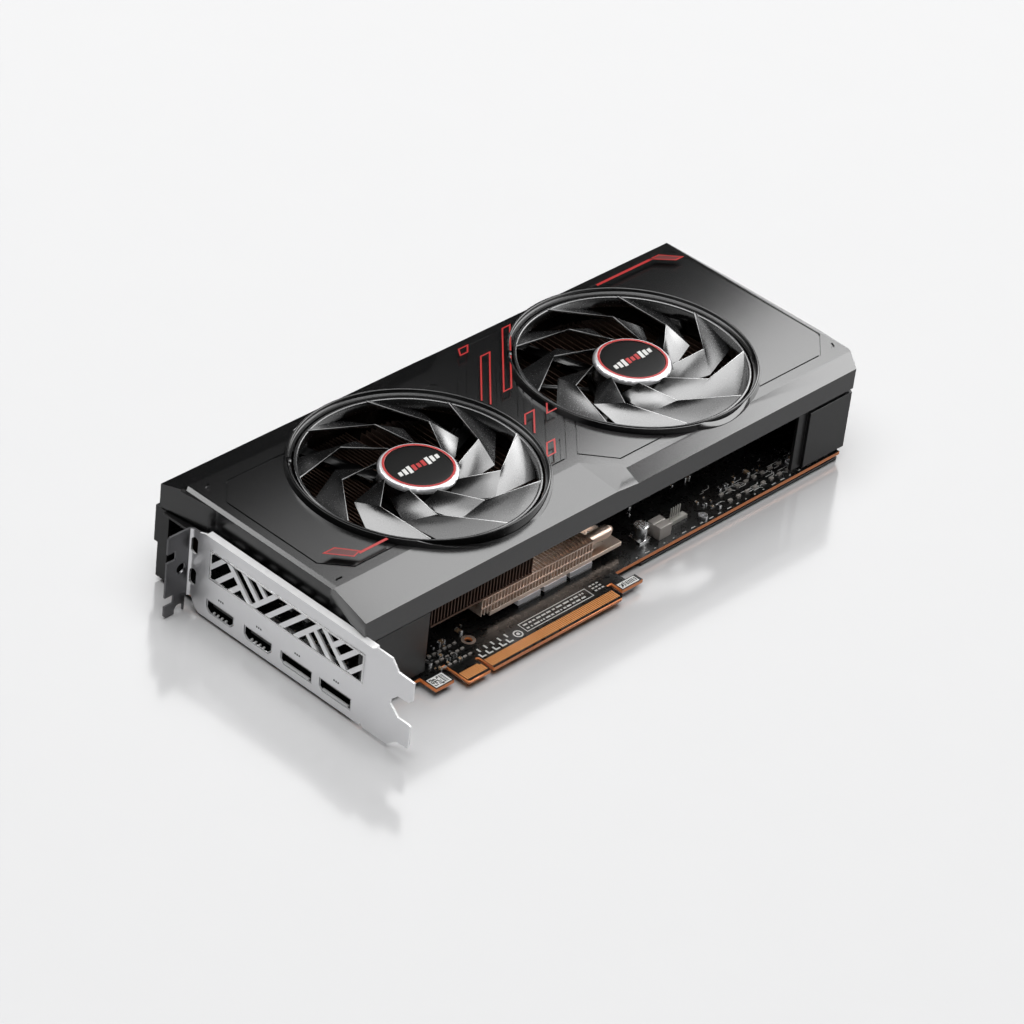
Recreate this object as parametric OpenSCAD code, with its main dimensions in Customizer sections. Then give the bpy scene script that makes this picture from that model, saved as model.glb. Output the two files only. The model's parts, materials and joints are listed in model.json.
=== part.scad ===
// Graphics card lying on its backplate with the fans facing up.
// The origin is on the backplate's lower face, midway between the two fans.
// +X runs from the bracket to the far end, +Y from the edge connector to the power sockets, +Z up.

/* [Card] */
// Height of the flat deck of the shroud above the resting plane
deck_z = 47; // [46.5:0.5:47.5]
// Height of the skirts' lower edge
skirt_z = 34.4; // [34:0.2:35]
// Wall thickness of the shroud
shroud_wall = 2; // [1.6:0.1:2.2]
// Depth of the panel lines in the deck
line_depth = 0.6; // [0.4:0.1:0.8]

/* [Fans] */
// Distance between the two fan axes
fan_pitch = 121; // [120.5:0.5:121.5]
// Number of blades on each rotor
blade_count = 9; // [7:1:11]
// Outer radius of a rotor's ring
rotor_r = 48; // [47.5:0.1:48.2]
// Radius where the swept blades are creased
crease_r = 31.7; // [30:0.1:33]
// Height of the shroud's raised lip round a fan, above the deck
lip_h = 2.4; // [2:0.1:2.6]
// Outer radius of a fan frame's collar
collar_r = 50.7; // [50.5:0.1:50.8]
// Height of the collar's top rim
rim_z = 49.8; // [49.6:0.1:50]

/* [Cooler] */
// Spacing of the fins that show at the side
fin_pitch = 1.75; // [1.6:0.05:2]
// Thickness of a fin
fin_t = 0.45; // [0.4:0.05:0.5]
// Radius of a heat pipe
pipe_r = 3; // [2.9:0.1:3]
// Height of the heat pipes' lower run
pipe_z = 13.6; // [13.5:0.1:13.8]

/* [Board] */
// Height of the circuit board's lower face
board_z = 2.6; // [2.5:0.1:2.7]
// Thickness of the circuit board
board_t = 1.6; // [1.5:0.05:1.65]
// Length of the edge connector over all its contacts
edge_length = 85.2; // [85.1:0.1:85.3]

/* [Bracket] */
// Thickness of the bracket's sheet
sheet_t = 0.86; // [0.8:0.02:0.9]
// Length of the bracket from its tab to its tongue
bracket_length = 120; // [119.8:0.1:120.2]
// Pitch of the display sockets
socket_pitch = 20.9; // [20.8:0.1:21]

/* [Hidden] */
$fn = 64;

front_x = -fan_pitch / 2;
rear_x = fan_pitch / 2;
fan_xs = [front_x, rear_x];
board_top = board_z + board_t;

// Shroud outline: side planes, deck edges beside each fan, and the ends.
side_low = -56.7;
side_high = 55.3;
front_deck = [-35.7, 45.5];
rear_deck = [-49.5, 52.7];
front_shoulder = [45, 44.7];
rear_shoulder = [43.8, 44];
step_x = [-8.5, 3.5];
near_face = -139.7;
far_face = 141.5;
fan_hole_r = collar_r + 0.2;
boss_r = 54.5;
ear_angles = [35, 145, 215, 325];
lip_foot_r = 51.9;
lip_top_r = 51.2;

// Bracket
plate_x = -145.7;
tab_y = 35.1;
tongue_y = tab_y - bracket_length;
bracket_top = 38.5;
tab_reach = 11.9;
socket_ys = [for (i = [0:3]) 16.3 - i * socket_pitch];
socket_mid_z = 7.3;
hdmi_ys = [socket_ys[0], socket_ys[1]];
displayport_ys = [socket_ys[2], socket_ys[3]];
lug_ys = [29.5, 5.9];

// Edge connector and board outline
board_low = side_low;
board_high = 49;
board_near = -142.3;
board_far = 131.7;
edge_x = -97.9;
edge_y = -69.7;
short_side = 11.65;
key_w = 1.9;

// Graphics processor and its cooler
gpu_x = -30;
gpu_y = -5;
spring_pitch = 64;
plate_z = [7.6, 11.6];
plate_step = [-32.8, 9.4];
pipe_ys = [-18, -6, 6, 18];
bend_r = 7.1;
bend_x = -108;
fin_top = 33.5;
chip_size = [12.5, 12, 1.2];
memory_sites = [for (i = [0:2]) [-50.5 + i * 14.5, -49.5],
    for (i = [0:2]) [-50.5 + i * 14.5, 26], [-4.8, -17], [-4.8, -2]];

// Screw posts from the shroud down to the board, and bosses that hold the end covers
post_sites = [[-118, -46], [-112, 41], [128, -46], [128, 30]];
cover_bosses = [[-128, -47], [-128, 47], [116, -48.5], [131, 46]];
thread_clearance = 0.03;

// Box between two corners
module block(low, high) {
    translate(low) cube(high - low);
}

// Profile drawn in Y and Z, extruded along X
module along_x(x0, x1) {
    translate([x0, 0, 0]) rotate([90, 0, 90]) linear_extrude(x1 - x0) children();
}

// Profile drawn in X and Z, extruded along +Y
module along_y(y0, y1) {
    translate([0, y1, 0]) rotate([90, 0, 0]) linear_extrude(y1 - y0) children();
}

// Tube between two radii
module tube(r_out, r_in, z0, z1) {
    translate([0, 0, z0]) difference() {
        cylinder(r = r_out, h = z1 - z0);
        translate([0, 0, -1]) cylinder(r = r_in, h = z1 - z0 + 2);
    }
}

module disc(r, z0, z1) {
    translate([0, 0, z0]) cylinder(r = r, h = z1 - z0);
}

// Pan-head screw standing on its head's seat, with a cross recess; its head points up
module screw(head_r, head_h, shank_r, length) {
    difference() {
        cylinder(r = head_r, h = head_h);
        for (a = [0, 90])
            rotate(a) translate([-head_r * 0.55, -head_r * 0.12, head_h * 0.5])
                cube([head_r * 1.1, head_r * 0.24, head_h]);
    }
    translate([0, 0, -length]) cylinder(r = shank_r, h = length);
}

// ---------------------------------------------------------------- shroud

// Cross-section of the shroud, open below; inset pulls it in by a wall's thickness
function shroud_profile(deck, shoulder, inset) = [
    [side_low + inset, skirt_z - inset],
    [side_low + inset, shoulder[0] - inset],
    [deck[0] + inset * 0.3, deck_z - inset],
    [deck[1] - inset * 0.3, deck_z - inset],
    [side_high - inset, shoulder[1] - inset],
    [side_high - inset, skirt_z - inset]];

module shroud_body(inset) {
    end = 150;
    along_x(-end, step_x[0]) polygon(shroud_profile(front_deck, front_shoulder, inset));
    along_x(step_x[1], end) polygon(shroud_profile(rear_deck, rear_shoulder, inset));
    hull() {
        along_x(step_x[0], step_x[0] + 0.01)
            polygon(shroud_profile(front_deck, front_shoulder, inset));
        along_x(step_x[1] - 0.01, step_x[1])
            polygon(shroud_profile(rear_deck, rear_shoulder, inset));
    }
}

// Plan outline of the shroud: both ends lean, and the far corner is cut
module shroud_plan(inset) {
    polygon([[near_face - 3.4 + inset, side_high + 1], [near_face + inset, 28],
        [near_face + inset, -34], [near_face - 4.1 + inset, side_low - 0.3],
        [133.5 - inset, side_low - 0.3], [139 - inset, -47.5], [far_face - inset, -30],
        [far_face - inset, 20], [139.5 - inset, 51.5], [137.5 - inset, side_high + 1]]);
}

// Bevels along both ends of the deck
module end_bevels() {
    along_y(front_deck[0], front_deck[1])
        polygon([[near_face - 5, deck_z - 1], [near_face, deck_z - 1],
            [near_face + 1.5, deck_z], [near_face + 1.5, deck_z + 1], [near_face - 5, deck_z + 1]]);
    along_y(rear_deck[0] - 8, rear_deck[1] + 3)
        polygon([[far_face + 5, deck_z - 1.7], [far_face, deck_z - 1.7],
            [far_face - 3.2, deck_z], [far_face - 3.2, deck_z + 1], [far_face + 5, deck_z + 1]]);
}

// Panel line between points of the deck
module deck_line(points, width) {
    for (i = [0:len(points) - 2]) {
        run = points[i + 1] - points[i];
        translate([points[i].x, points[i].y, deck_z - line_depth])
            rotate(atan2(run.y, run.x))
                translate([-width / 2, -width / 2, 0])
                    cube([norm(run) + width, width, line_depth + 1]);
    }
}

// Slanted stripe grooves of the middle panel, all at 45 degrees; k is where a line crosses x = 0
stripe_lines = [[-26, -12, 44], [-20, -5, 39], [-14, 3, 34], [-6, 16, 17.4], [-5, 17, 5.8],
    [-2.5, 17.5, 2.2], [2.2, 16.5, -2.5], [-10, 2, -9.2], [-13, -3, -17]];

module deck_lines() {
    panel_line = 0.7;
    // Panel round the front fan
    deck_line([[-85, 38.9], [-124.4, 38.9], [-134, 29], [-134, -20.2], [-124.2, -30.6],
        [-10.6, -30.6], [17, -3.1]], panel_line);
    // Corner of the front panel beyond the fan
    deck_line([[-22, 38], [-16.2, 38], [-14.6, 36.4]], panel_line);
    // Panel round the rear fan
    deck_line([[17, -9.3], [-4.8, -31], [6.5, -43.8], [125.2, -43.8], [137, -33.2],
        [137, 38.5], [126.6, 48.9], [4.8, 48.9]], panel_line);
    for (s = stripe_lines)
        deck_line([[s[0], s[0] + s[2]], [s[1], s[1] + s[2]]], 0.5);
}

// Small chevron recess near a corner of the deck
module chevron(position, angle) {
    translate([position.x, position.y, deck_z - line_depth]) rotate(angle)
        linear_extrude(2) polygon([[-1.8, -1.6], [0.8, -0.3], [1.6, 1.8], [0.6, 1.8],
            [0.1, 0.4], [-1.8, -0.5]]);
}

// Places of the screws that hold one fan frame under the deck
module at_ears(x) {
    for (a = ear_angles)
        translate([x + boss_r * cos(a), boss_r * sin(a), 0]) children();
}

// Raised lip round a fan's opening; it fades out where the deck falls away to either side
module fan_lip(x, deck, shoulder) {
    sink = 1.4;
    spread = (lip_foot_r - lip_top_r) / lip_h;
    low = deck_z - sink;
    fade_low = deck[0] + (side_low - deck[0]) * sink / (deck_z - shoulder[0]);
    fade_high = deck[1] + (side_high - deck[1]) * sink / (deck_z - shoulder[1]);
    intersection() {
        translate([x, 0, low])
            cylinder(r1 = lip_foot_r + sink * spread, r2 = lip_top_r, h = lip_h + sink, $fn = 128);
        along_x(x - 60, x + 60) polygon([[fade_low, low], [deck[0], deck_z + lip_h],
            [deck[1], deck_z + lip_h], [fade_high, low]]);
    }
}

// Wall that closes the far long side between the end covers, with slanted air slots low down
module side_wall() {
    low = 9;
    difference() {
        union() {
            block([-118, side_high - shroud_wall, low], [72, side_high, skirt_z + 0.6]);
            // Strip over the power sockets
            block([72, side_high - shroud_wall, 24], [117.5, side_high, skirt_z + 0.6]);
        }
        for (i = [0:12])
            translate([-106 + i * 13.5, 0, 0]) along_y(side_high - 3, side_high + 1)
                polygon([[0, low + 3], [5, low + 3], [13, 22.5], [8, 22.5]]);
    }
}

module shroud() {
    color("dimgray") difference() {
        union() {
            side_wall();
            fan_lip(front_x, front_deck, front_shoulder);
            fan_lip(rear_x, rear_deck, rear_shoulder);
            difference() {
                intersection() {
                    shroud_body(0);
                    translate([0, 0, skirt_z]) linear_extrude(20) shroud_plan(0);
                }
                intersection() {
                    shroud_body(shroud_wall);
                    translate([0, 0, skirt_z - 5]) linear_extrude(25) shroud_plan(shroud_wall);
                }
                end_bevels();
                deck_lines();
                chevron([-134.6, -32.4], 150);
                chevron([134.8, -42.6], 0);
                chevron([-133, 40.5], 180);
                chevron([134.5, 47], 90);
            }
            for (x = fan_xs) at_ears(x) disc(2.6, 40.4, deck_z - shroud_wall + 0.3);
            for (p = post_sites) translate(p) disc(2.9, board_top + 0.1, 45.4);
            intersection() {
                shroud_body(0.7);
                for (p = cover_bosses) translate(p) disc(2.6, 32.8, deck_z);
            }
        }
        for (x = fan_xs) {
            translate([x, 0, 0]) disc(fan_hole_r, 30, 60);
            at_ears(x) disc(1 + thread_clearance, 40, 44);
        }
        for (p = post_sites) translate(p) disc(1 + thread_clearance, 0, 14);
        for (p = cover_bosses) translate(p) disc(1 + thread_clearance, 30, 39);
        // Relief for the bracket's top flange
        block([-150, -70, 37.2], [-142.1, 27, 39]);
        // Slot in the cut corner at the far end
        translate([136.6, -52.4, 40.4]) rotate(58) translate([-2.2, -3, 0])
            rotate([0, -35, 0]) cube([4.4, 6, 1.1]);
    }
}

// ---------------------------------------------------------------- fans

module fan_frame(x) {
    base_z = 35;
    rim_t = 0.45;
    color([0.06, 0.06, 0.065]) difference() {
        translate([x, 0, 0]) {
            // Collar: thick lower wall, then a thin rim with a rounded top
            rotate_extrude($fn = 96) {
                translate([collar_r - 1.2, base_z]) square([1.2, 9]);
                translate([collar_r - 1.8, base_z + 8]) square([1.8, 4]);
                translate([collar_r - 2 * rim_t, base_z + 11]) square([2 * rim_t, rim_z - rim_t - 46]);
                translate([collar_r - rim_t, rim_z - rim_t]) circle(r = rim_t);
            }
            // Motor base and four arms
            disc(17, base_z, base_z + 1.8);
            for (a = [20, 110, 200, 290])
                rotate(a) block([15, -2.6, base_z], [collar_r - 1, 2.6, base_z + 2.2]);
            tube(5, 3, base_z + 1, 44.2);
            // Ears under the deck
            for (a = ear_angles)
                rotate(a) {
                    block([collar_r - 1, -3.2, 38.2], [boss_r, 3.2, 40.2]);
                    translate([boss_r, 0, 0]) disc(3.2, 38.2, 40.2);
                }
            // Small catch on the rim
            rotate(140) block([collar_r - 1.6, -1.5, 48], [collar_r, 1.5, rim_z]);
        }
        at_ears(x) disc(1.2, 30, 44.5);
    }
}

// One fan's bearings: two rings pressed into the motor tube
module bearings(x) {
    color("silver") translate([x, 0, 0])
        for (z = [37.2, 41.6]) tube(2.99, 1.52, z, z + 2.5);
}

module shaft(x) {
    color("gainsboro") translate([x, 0, 0]) {
        disc(1.5, 36.9, 45.4);
        disc(1.9, 36.85, 37.1);
    }
}

module stator(x) {
    color("slategray") translate([x, 0, 40]) {
        tube(6.6, 5, -0.5, 3.5);
        for (i = [0:5])
            rotate(i * 60) {
                block([6, -1.1, 0], [11.2, 1.1, 3]);
                intersection() {
                    tube(12.2, 10.9, 0, 3);
                    block([9, -4.4, 0], [13, 4.4, 3]);
                }
            }
    }
}

module coils(x) {
    color([0.72, 0.38, 0.16]) translate([x, 0, 40])
        for (i = [0:5])
            rotate(i * 60) difference() {
                block([7.2, -2.2, -0.9], [10.4, 2.2, 3.9]);
                block([7, -1.1, 0], [11, 1.1, 3]);
            }
}

module magnet_ring(x) {
    color([0.2, 0.2, 0.22]) translate([x, 0, 0]) tube(14, 12.7, 38.6, 44.4);
}

// Corners of a blade as radius, angle and height, at the hub, the crease and the ring
lead_corners = [[15.2, -27, 47.9], [crease_r, 0, 47.9], [47, 33, 47.9]];
trail_corners = [[15.2, -57, 40.2], [crease_r, -23, 43.5], [47, 6, 41.6]];
blade_t = 1;

function around(c) = [c[0] * cos(c[1]), c[0] * sin(c[1]), c[2]];
function mix(a, b, t) = a + (b - a) * t;

// Point on one straight-sided edge: span runs from 0 at the hub over 1 at the crease to 2 at the ring
function edge_point(corners, span) =
    let (i = span < 1 ? 0 : 1) mix(around(corners[i]), around(corners[i + 1]), span - i);

// Point of a blade: chord runs from 0 at the leading edge to 1 at the trailing edge
function blade_point(span, chord) = span == 2
    ? around(mix(lead_corners[2], trail_corners[2], chord))
    : mix(edge_point(lead_corners, span), edge_point(trail_corners, span), chord);

// Blade of two facets that meet in a crease
module blade() {
    spans = [0, 0.5, 1, 1.35, 1.7, 2];
    chords = [0, 0.33, 0.67, 1];
    rows = len(spans);
    cols = len(chords);
    points = [for (side = [0, 1], span = spans, chord = chords)
        blade_point(span, chord) - [0, 0, side * blade_t * (1 - 0.45 * chord)]];
    function id(side, i, j) = side * rows * cols + i * cols + j;
    top = [for (i = [0:rows - 2], j = [0:cols - 2], k = [0, 1]) k == 0
        ? [id(0, i, j), id(0, i + 1, j + 1), id(0, i, j + 1)]
        : [id(0, i, j), id(0, i + 1, j), id(0, i + 1, j + 1)]];
    bottom = [for (f = top) [f[2] + rows * cols, f[1] + rows * cols, f[0] + rows * cols]];
    edges = [for (i = [0:rows - 2], j = [0, cols - 1])
        let (q = [id(0, i, j), id(0, i + 1, j), id(1, i + 1, j), id(1, i, j)])
            j > 0 ? q : [q[3], q[2], q[1], q[0]]];
    ends = [for (j = [0:cols - 2], i = [0, rows - 1])
        let (q = [id(0, i, j), id(1, i, j), id(1, i, j + 1), id(0, i, j + 1)])
            i > 0 ? q : [q[3], q[2], q[1], q[0]]];
    sides = [for (q = concat(edges, ends), k = [0, 1]) k == 0 ? [q[0], q[1], q[2]] : [q[0], q[2], q[3]]];
    polyhedron(points, concat(top, bottom, sides));
}

module rotor(x, turn) {
    color([0.16, 0.16, 0.17]) translate([x, 0, 0]) {
        // Blades stop short of the trim ring round the hub
        difference() {
            for (i = [0:blade_count - 1])
                rotate(turn + i * 360 / blade_count) blade();
            disc(16.6, 45.8, 50);
        }
        tube(rotor_r, rotor_r - 1.4, 42.6, 47.4);
        // Hub cup and the boss that holds the shaft
        tube(15.4, 14, 38.2, 45.4);
        difference() {
            union() {
                disc(15.4, 45.2, 46.4);
                disc(3.2, 44.5, 45.3);
            }
            disc(1.5, 43, 45.4);
        }
    }
}

module trim_ring(x) {
    color("silver") translate([x, 0, 0]) rotate_extrude($fn = 96)
        polygon([[13.6, 46.4], [15.4, 46.4], [15.4, 46], [16, 46], [16, 47], [14.7, 48.3],
            [13.6, 48.3]]);
}

module hub_badge(x) {
    color("black") translate([x, 0, 0]) disc(13.6, 46.4, 48.4);
}

module fan_screws() {
    color("silver") for (x = fan_xs) at_ears(x)
        translate([0, 0, 38.2]) mirror([0, 0, 1]) screw(2.1, 1.4, 1, 5.2);
}

// ---------------------------------------------------------------- cooler

// Row of fins from x0 to x1; the children give one fin's profile in Y and Z
module fin_row(x0, x1, pitch) {
    for (i = [0:floor((x1 - x0 - fin_t) / pitch)])
        along_x(x0 + i * pitch, x0 + i * pitch + fin_t) children();
}

module pipe_holes(ys, z) {
    for (y = ys) translate([y, z]) circle(r = pipe_r + 0.02);
}

// Thin strip along X that ties a row of fins together
module lip(x0, x1, y0, y1, z0, z1) {
    block([x0, y0, z0], [x1, y1, z1]);
}

front_fin_x = [-106, -50];
lower_fin_x = [-71, -9];
centre_fin_x = [-47, 6];
rear_fin_x = [22, 126];
inner_pitch = fin_pitch * 1.6;

// Short side pipe through the lower fins: its Y and Z, and its radius
side_pipe = [-44.6, 14.7];
side_pipe_r = 2.5;

// Last face of a row of fins
function row_end(x, pitch) = x[0] + floor((x[1] - x[0] - fin_t) / pitch) * pitch + fin_t;

module front_fins() {
    low = -54.7;
    high = 48;
    z0 = 24.3;
    end = row_end(front_fin_x, fin_pitch);
    color([0.62, 0.55, 0.5]) {
        fin_row(front_fin_x[0], front_fin_x[1], fin_pitch) difference() {
            translate([low, z0]) square([high - low, fin_top - z0]);
            pipe_holes([pipe_ys[0], pipe_ys[3]], pipe_z + 2 * bend_r);
        }
        lip(front_fin_x[0], end, low - 0.25, low + 0.05, z0, z0 + 0.8);
        lip(front_fin_x[0], end, high - 0.05, high + 0.25, z0, z0 + 0.8);
        lip(front_fin_x[0], end, low, low + 2, fin_top - 0.05, fin_top + 0.25);
    }
}

module lower_fins() {
    low = -48.7;
    high = -33;
    top = 17.6;
    end = row_end(lower_fin_x, fin_pitch);
    color([0.62, 0.55, 0.5]) {
        fin_row(lower_fin_x[0], lower_fin_x[1], fin_pitch) difference() {
            translate([low, plate_step.y]) square([high - low, top - plate_step.y]);
            translate([side_pipe.x, side_pipe.y]) circle(r = side_pipe_r + 0.02);
        }
        for (z = [12.8, top - 0.5]) {
            lip(lower_fin_x[0], end, low - 0.3, low + 0.05, z, z + 0.5);
            lip(lower_fin_x[0], end, high - 0.05, high + 0.25, z, z + 0.5);
        }
    }
}

module centre_fins() {
    low = -28;
    high = 44;
    end = row_end(centre_fin_x, inner_pitch);
    color([0.55, 0.47, 0.42]) {
        fin_row(centre_fin_x[0], centre_fin_x[1], inner_pitch) difference() {
            translate([low, plate_z[1]]) square([high - low, fin_top - plate_z[1]]);
            pipe_holes(pipe_ys, pipe_z);
        }
        lip(centre_fin_x[0], end, low - 0.25, low + 0.05, 24, 24.8);
        lip(centre_fin_x[0], end, high - 0.05, high + 0.25, 24, 24.8);
    }
}

module rear_fins() {
    low = -36;
    high = 48;
    end = row_end(rear_fin_x, inner_pitch);
    color([0.62, 0.6, 0.58]) {
        // The lower corner is cut back over the power sockets
        fin_row(rear_fin_x[0], rear_fin_x[1], inner_pitch) difference() {
            polygon([[low, plate_z[1]], [34, plate_z[1]], [34, 17], [high, 17],
                [high, fin_top], [low, fin_top]]);
            pipe_holes(pipe_ys, pipe_z);
        }
        lip(rear_fin_x[0], end, low - 0.25, low + 0.05, 24, 24.8);
        lip(rear_fin_x[0], end, high - 0.05, high + 0.25, 24, 24.8);
    }
}

// Straight run of heat pipe along X
module pipe_run(x0, x1, y, z, r = pipe_r) {
    translate([x0, y, z]) rotate([0, 90, 0]) cylinder(r = r, h = x1 - x0);
}

// Straight pipe with a tapered, crimped tip towards +X
module pipe_tip(x, y, z, r = pipe_r) {
    translate([x, y, z]) rotate([0, 90, 0]) cylinder(r1 = r, r2 = r * 0.45, h = r);
}

module heat_pipes() {
    far_end_x = 127.5;
    color([0.78, 0.42, 0.2]) {
        for (y = [pipe_ys[1], pipe_ys[2]]) {
            pipe_run(-60, far_end_x, y, pipe_z);
            pipe_tip(far_end_x, y, pipe_z);
        }
        for (y = [pipe_ys[0], pipe_ys[3]]) {
            pipe_run(bend_x, far_end_x, y, pipe_z);
            pipe_tip(far_end_x, y, pipe_z);
            // Half-turn back up into the front fins
            translate([bend_x, y, pipe_z + bend_r]) rotate([90, 0, 0]) rotate(90)
                rotate_extrude(angle = 180) translate([bend_r, 0]) circle(r = pipe_r);
            pipe_run(bend_x, -50, y, pipe_z + 2 * bend_r);
            pipe_tip(-50, y, pipe_z + 2 * bend_r);
        }
        pipe_run(-69, 3, side_pipe.x, side_pipe.y, side_pipe_r);
        pipe_tip(3, side_pipe.x, side_pipe.y, side_pipe_r);
    }
}

// Base plate over the processor and the memory, thin under the lower fins, with a pedestal above the
// die
module cold_plate() {
    color("peru") difference() {
        union() {
            block([-66, -48.7, plate_z[0]], [8, 40, plate_step.y]);
            block([-66, plate_step.x, plate_step.y - 0.1], [8, 40, plate_z[1]]);
            block([gpu_x - 14, gpu_y - 14, 6.7], [gpu_x + 14, gpu_y + 14, plate_z[0] + 0.1]);
        }
        at_springs() disc(1.25, 7, 12);
        for (y = pipe_ys) pipe_run(-70, 12, y, pipe_z, pipe_r + 0.02);
    }
}

// Places of the four spring screws round the processor
module at_springs() {
    for (sx = [-1, 1], sy = [-1, 1])
        translate([gpu_x + sx * spring_pitch / 2, gpu_y + sy * spring_pitch / 2, 0]) children();
}

// Threaded sleeves between the board and the base plate
module plate_standoffs() {
    color("darkgoldenrod") at_springs() tube(2.6, 1.25, board_top, plate_z[0]);
}

module gpu_package() {
    color("darkolivegreen") {
        block([gpu_x - 20, gpu_y - 20, board_top], [gpu_x + 20, gpu_y + 20, board_top + 1.4]);
        block([gpu_x - 9, gpu_y - 8, board_top + 1.3], [gpu_x + 9, gpu_y + 8, board_top + 2.2]);
        for (sx = [-1, 1], sy = [-1, 0, 1])
            translate([gpu_x + sx * 14.5, gpu_y + sy * 11, board_top + 1.3]) cube([1.6, 3, 0.8]);
    }
}

module thermal_paste() {
    color("lightgray")
        block([gpu_x - 9, gpu_y - 8, board_top + 2.2], [gpu_x + 9, gpu_y + 8, 6.7]);
}

module at_memory() {
    for (site = memory_sites) translate([site.x, site.y, board_top]) children();
}

module memory_chips() {
    color([0.1, 0.1, 0.1]) at_memory() cube(chip_size);
}

module memory_pads() {
    color("lightgray") at_memory() translate([0, 0.3, chip_size.z])
        cube([chip_size.x, chip_size.y - 0.6, plate_z[0] - board_top - chip_size.z]);
}

// ---------------------------------------------------------------- board

module board_hole(position, r) {
    translate([position.x, position.y, board_z - 1]) cylinder(r = r, h = board_t + 2);
}

ring_holes = concat(post_sites, [[-79.7, -51.4]]);
backplate_holes = [[-128, 43], [-30, 45], [66, 44], [108, -50], [51.8, -53.1]];
lug_holes = [for (y = lug_ys) [-139.4, y]];

// Board outline with the edge connector, its key notch, the label tab and the retention hook
module board_outline() {
    fingers_x = edge_x + edge_length;
    key_x = edge_x + short_side;
    hook_x = fingers_x + 3.1;
    difference() {
        union() {
            translate([board_near, board_low])
                square([board_far - board_near, board_high - board_low]);
            translate([-111, -65.4]) square([9.5, 12]);
            polygon([[edge_x, board_low + 1], [edge_x, edge_y + 0.6], [edge_x + 0.6, edge_y],
                [fingers_x - 0.6, edge_y], [fingers_x, edge_y + 0.6], [fingers_x, -60.5],
                [hook_x, -60.5], [hook_x, -66.5], [hook_x + 11.6, -66.5],
                [hook_x + 11.6, -62.2], [hook_x + 6.2, -62.2], [hook_x + 6.2, board_low + 1]]);
        }
        translate([key_x, edge_y - 1]) square([key_w, 8.75]);
        translate([key_x + key_w / 2, edge_y + 7.75]) circle(r = key_w / 2, $fn = 32);
    }
}

module circuit_board() {
    color([0.05, 0.05, 0.055]) difference() {
        translate([0, 0, board_z]) linear_extrude(board_t) board_outline();
        for (p = ring_holes) board_hole(p, 1.6);
        for (p = backplate_holes) board_hole(p, 1.3);
        for (p = lug_holes) board_hole(p, 1.25);
        at_springs() disc(1.6, board_z - 1, board_top + 1);
    }
}

module hole_rings() {
    color([0.8, 0.45, 0.25]) for (p = ring_holes)
        translate([p.x, p.y, 0]) tube(2.9, 1.6, board_top, board_top + 0.06);
}

// Gold contacts on both faces of the edge connector
module edge_contacts() {
    pitch = 1;
    pad_w = 0.7;
    color("goldenrod") for (side = [0, 1], i = [0:81]) {
        offset_x = i < 11 ? 0.5 + i : short_side + key_w + 0.4 + (i - 11);
        translate([edge_x + offset_x * pitch, edge_y + 1.2, side ? board_top : board_z - 0.08])
            cube([pad_w, i == 10 ? 3.6 : 4.6, 0.08]);
    }
}

module inductor(size) {
    translate([-size.x / 2, -size.y / 2, 0]) difference() {
        cube(size);
        translate([-1, size.y / 2 - 0.4, size.z - 0.4]) cube([size.x + 2, 0.8, 1]);
    }
}

inductor_sites = [for (i = [0:5]) [-96, -22 + i * 10.5], for (i = [0:3]) [12.8, -8 + i * 11]];

module inductors() {
    color("dimgray") for (s = inductor_sites)
        translate([s.x, s.y, board_top]) inductor([7.6, 7.6, 5.6]);
}

module power_stages() {
    color([0.12, 0.12, 0.12]) for (s = inductor_sites)
        translate([s.x + 6.4, s.y - 2.5, board_top]) cube([5, 6, 0.9]);
}

can_sites = [[21, -47.1], [-118, -12], [-118, -3], [-118, 6], [40, 43], [48.5, 43], [57, 43.5]];

module can_capacitors() {
    color("silver") for (s = can_sites)
        translate([s.x, s.y, board_top]) {
            translate([-3.3, -3.3, 0]) cube([6.6, 6.6, 0.8]);
            disc(3.1, 0.7, 6.6);
            disc(2.6, 6.5, 7);
        }
}

// Shielded input choke beside the front capacitor
module choke_block() {
    size = [7, 7, 6];
    color("gray") translate([29.2, -49.7, board_top]) difference() {
        translate([-size.x / 2, -size.y / 2, 0]) cube(size);
        translate([-size.x, -0.4, size.z - 0.4]) cube([2 * size.x, 0.8, 1]);
    }
}

// Pin header near the middle of the edge: a pale base and a row of pins
module pin_header() {
    color("gainsboro") translate([36.6, -49.4, board_top]) {
        cube([10, 2.8, 1.8]);
        for (i = [0:4]) translate([0.7 + i * 1.3, 1.2, 1.7]) cube([0.5, 0.5, 6]);
    }
}

// ---------------------------------------------------------------- sockets

hdmi_outline = [[-7.45, 2.8], [7.45, 2.8], [7.45, -0.9], [5.6, -2.8], [-5.6, -2.8], [-7.45, -0.9]];
displayport_outline = [[-8.35, 2.65], [8.35, 2.65], [8.35, -0.8], [6.5, -2.65], [-8.35, -2.65]];

// Sheet-metal shell of a socket, open at the bracket
module socket_shell(outline, y, depth) {
    wall = 0.45;
    back = 1;
    translate([plate_x + 0.15, y, socket_mid_z]) {
        difference() {
            along_x(0, depth) polygon(outline);
            along_x(-1, depth - back) inner_outline(outline, wall);
        }
        // Feet on the board
        for (s = [-1, 1])
            block([5, s * 4 - 1.2, board_top - socket_mid_z], [depth - 1, s * 4 + 1.2, -2.4]);
    }
}

// Outline pulled in by a wall's thickness, about its own centre
module inner_outline(outline, wall) {
    w = max([for (p = outline) p.x]);
    h = max([for (p = outline) p.y]);
    polygon([for (p = outline) [p.x * (w - wall) / w, p.y * (h - wall) / h]]);
}

// Contact tongue inside a socket, from its back wall forward
module socket_tongue(y, width, z, depth) {
    block([plate_x + 1.6, y - width / 2, z - 0.6], [plate_x + depth - 0.85, y + width / 2, z + 0.6]);
}

hdmi_depth = 12;
displayport_depth = 13;

module hdmi_shells() {
    color("silver") for (y = hdmi_ys) socket_shell(hdmi_outline, y, hdmi_depth);
}

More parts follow.
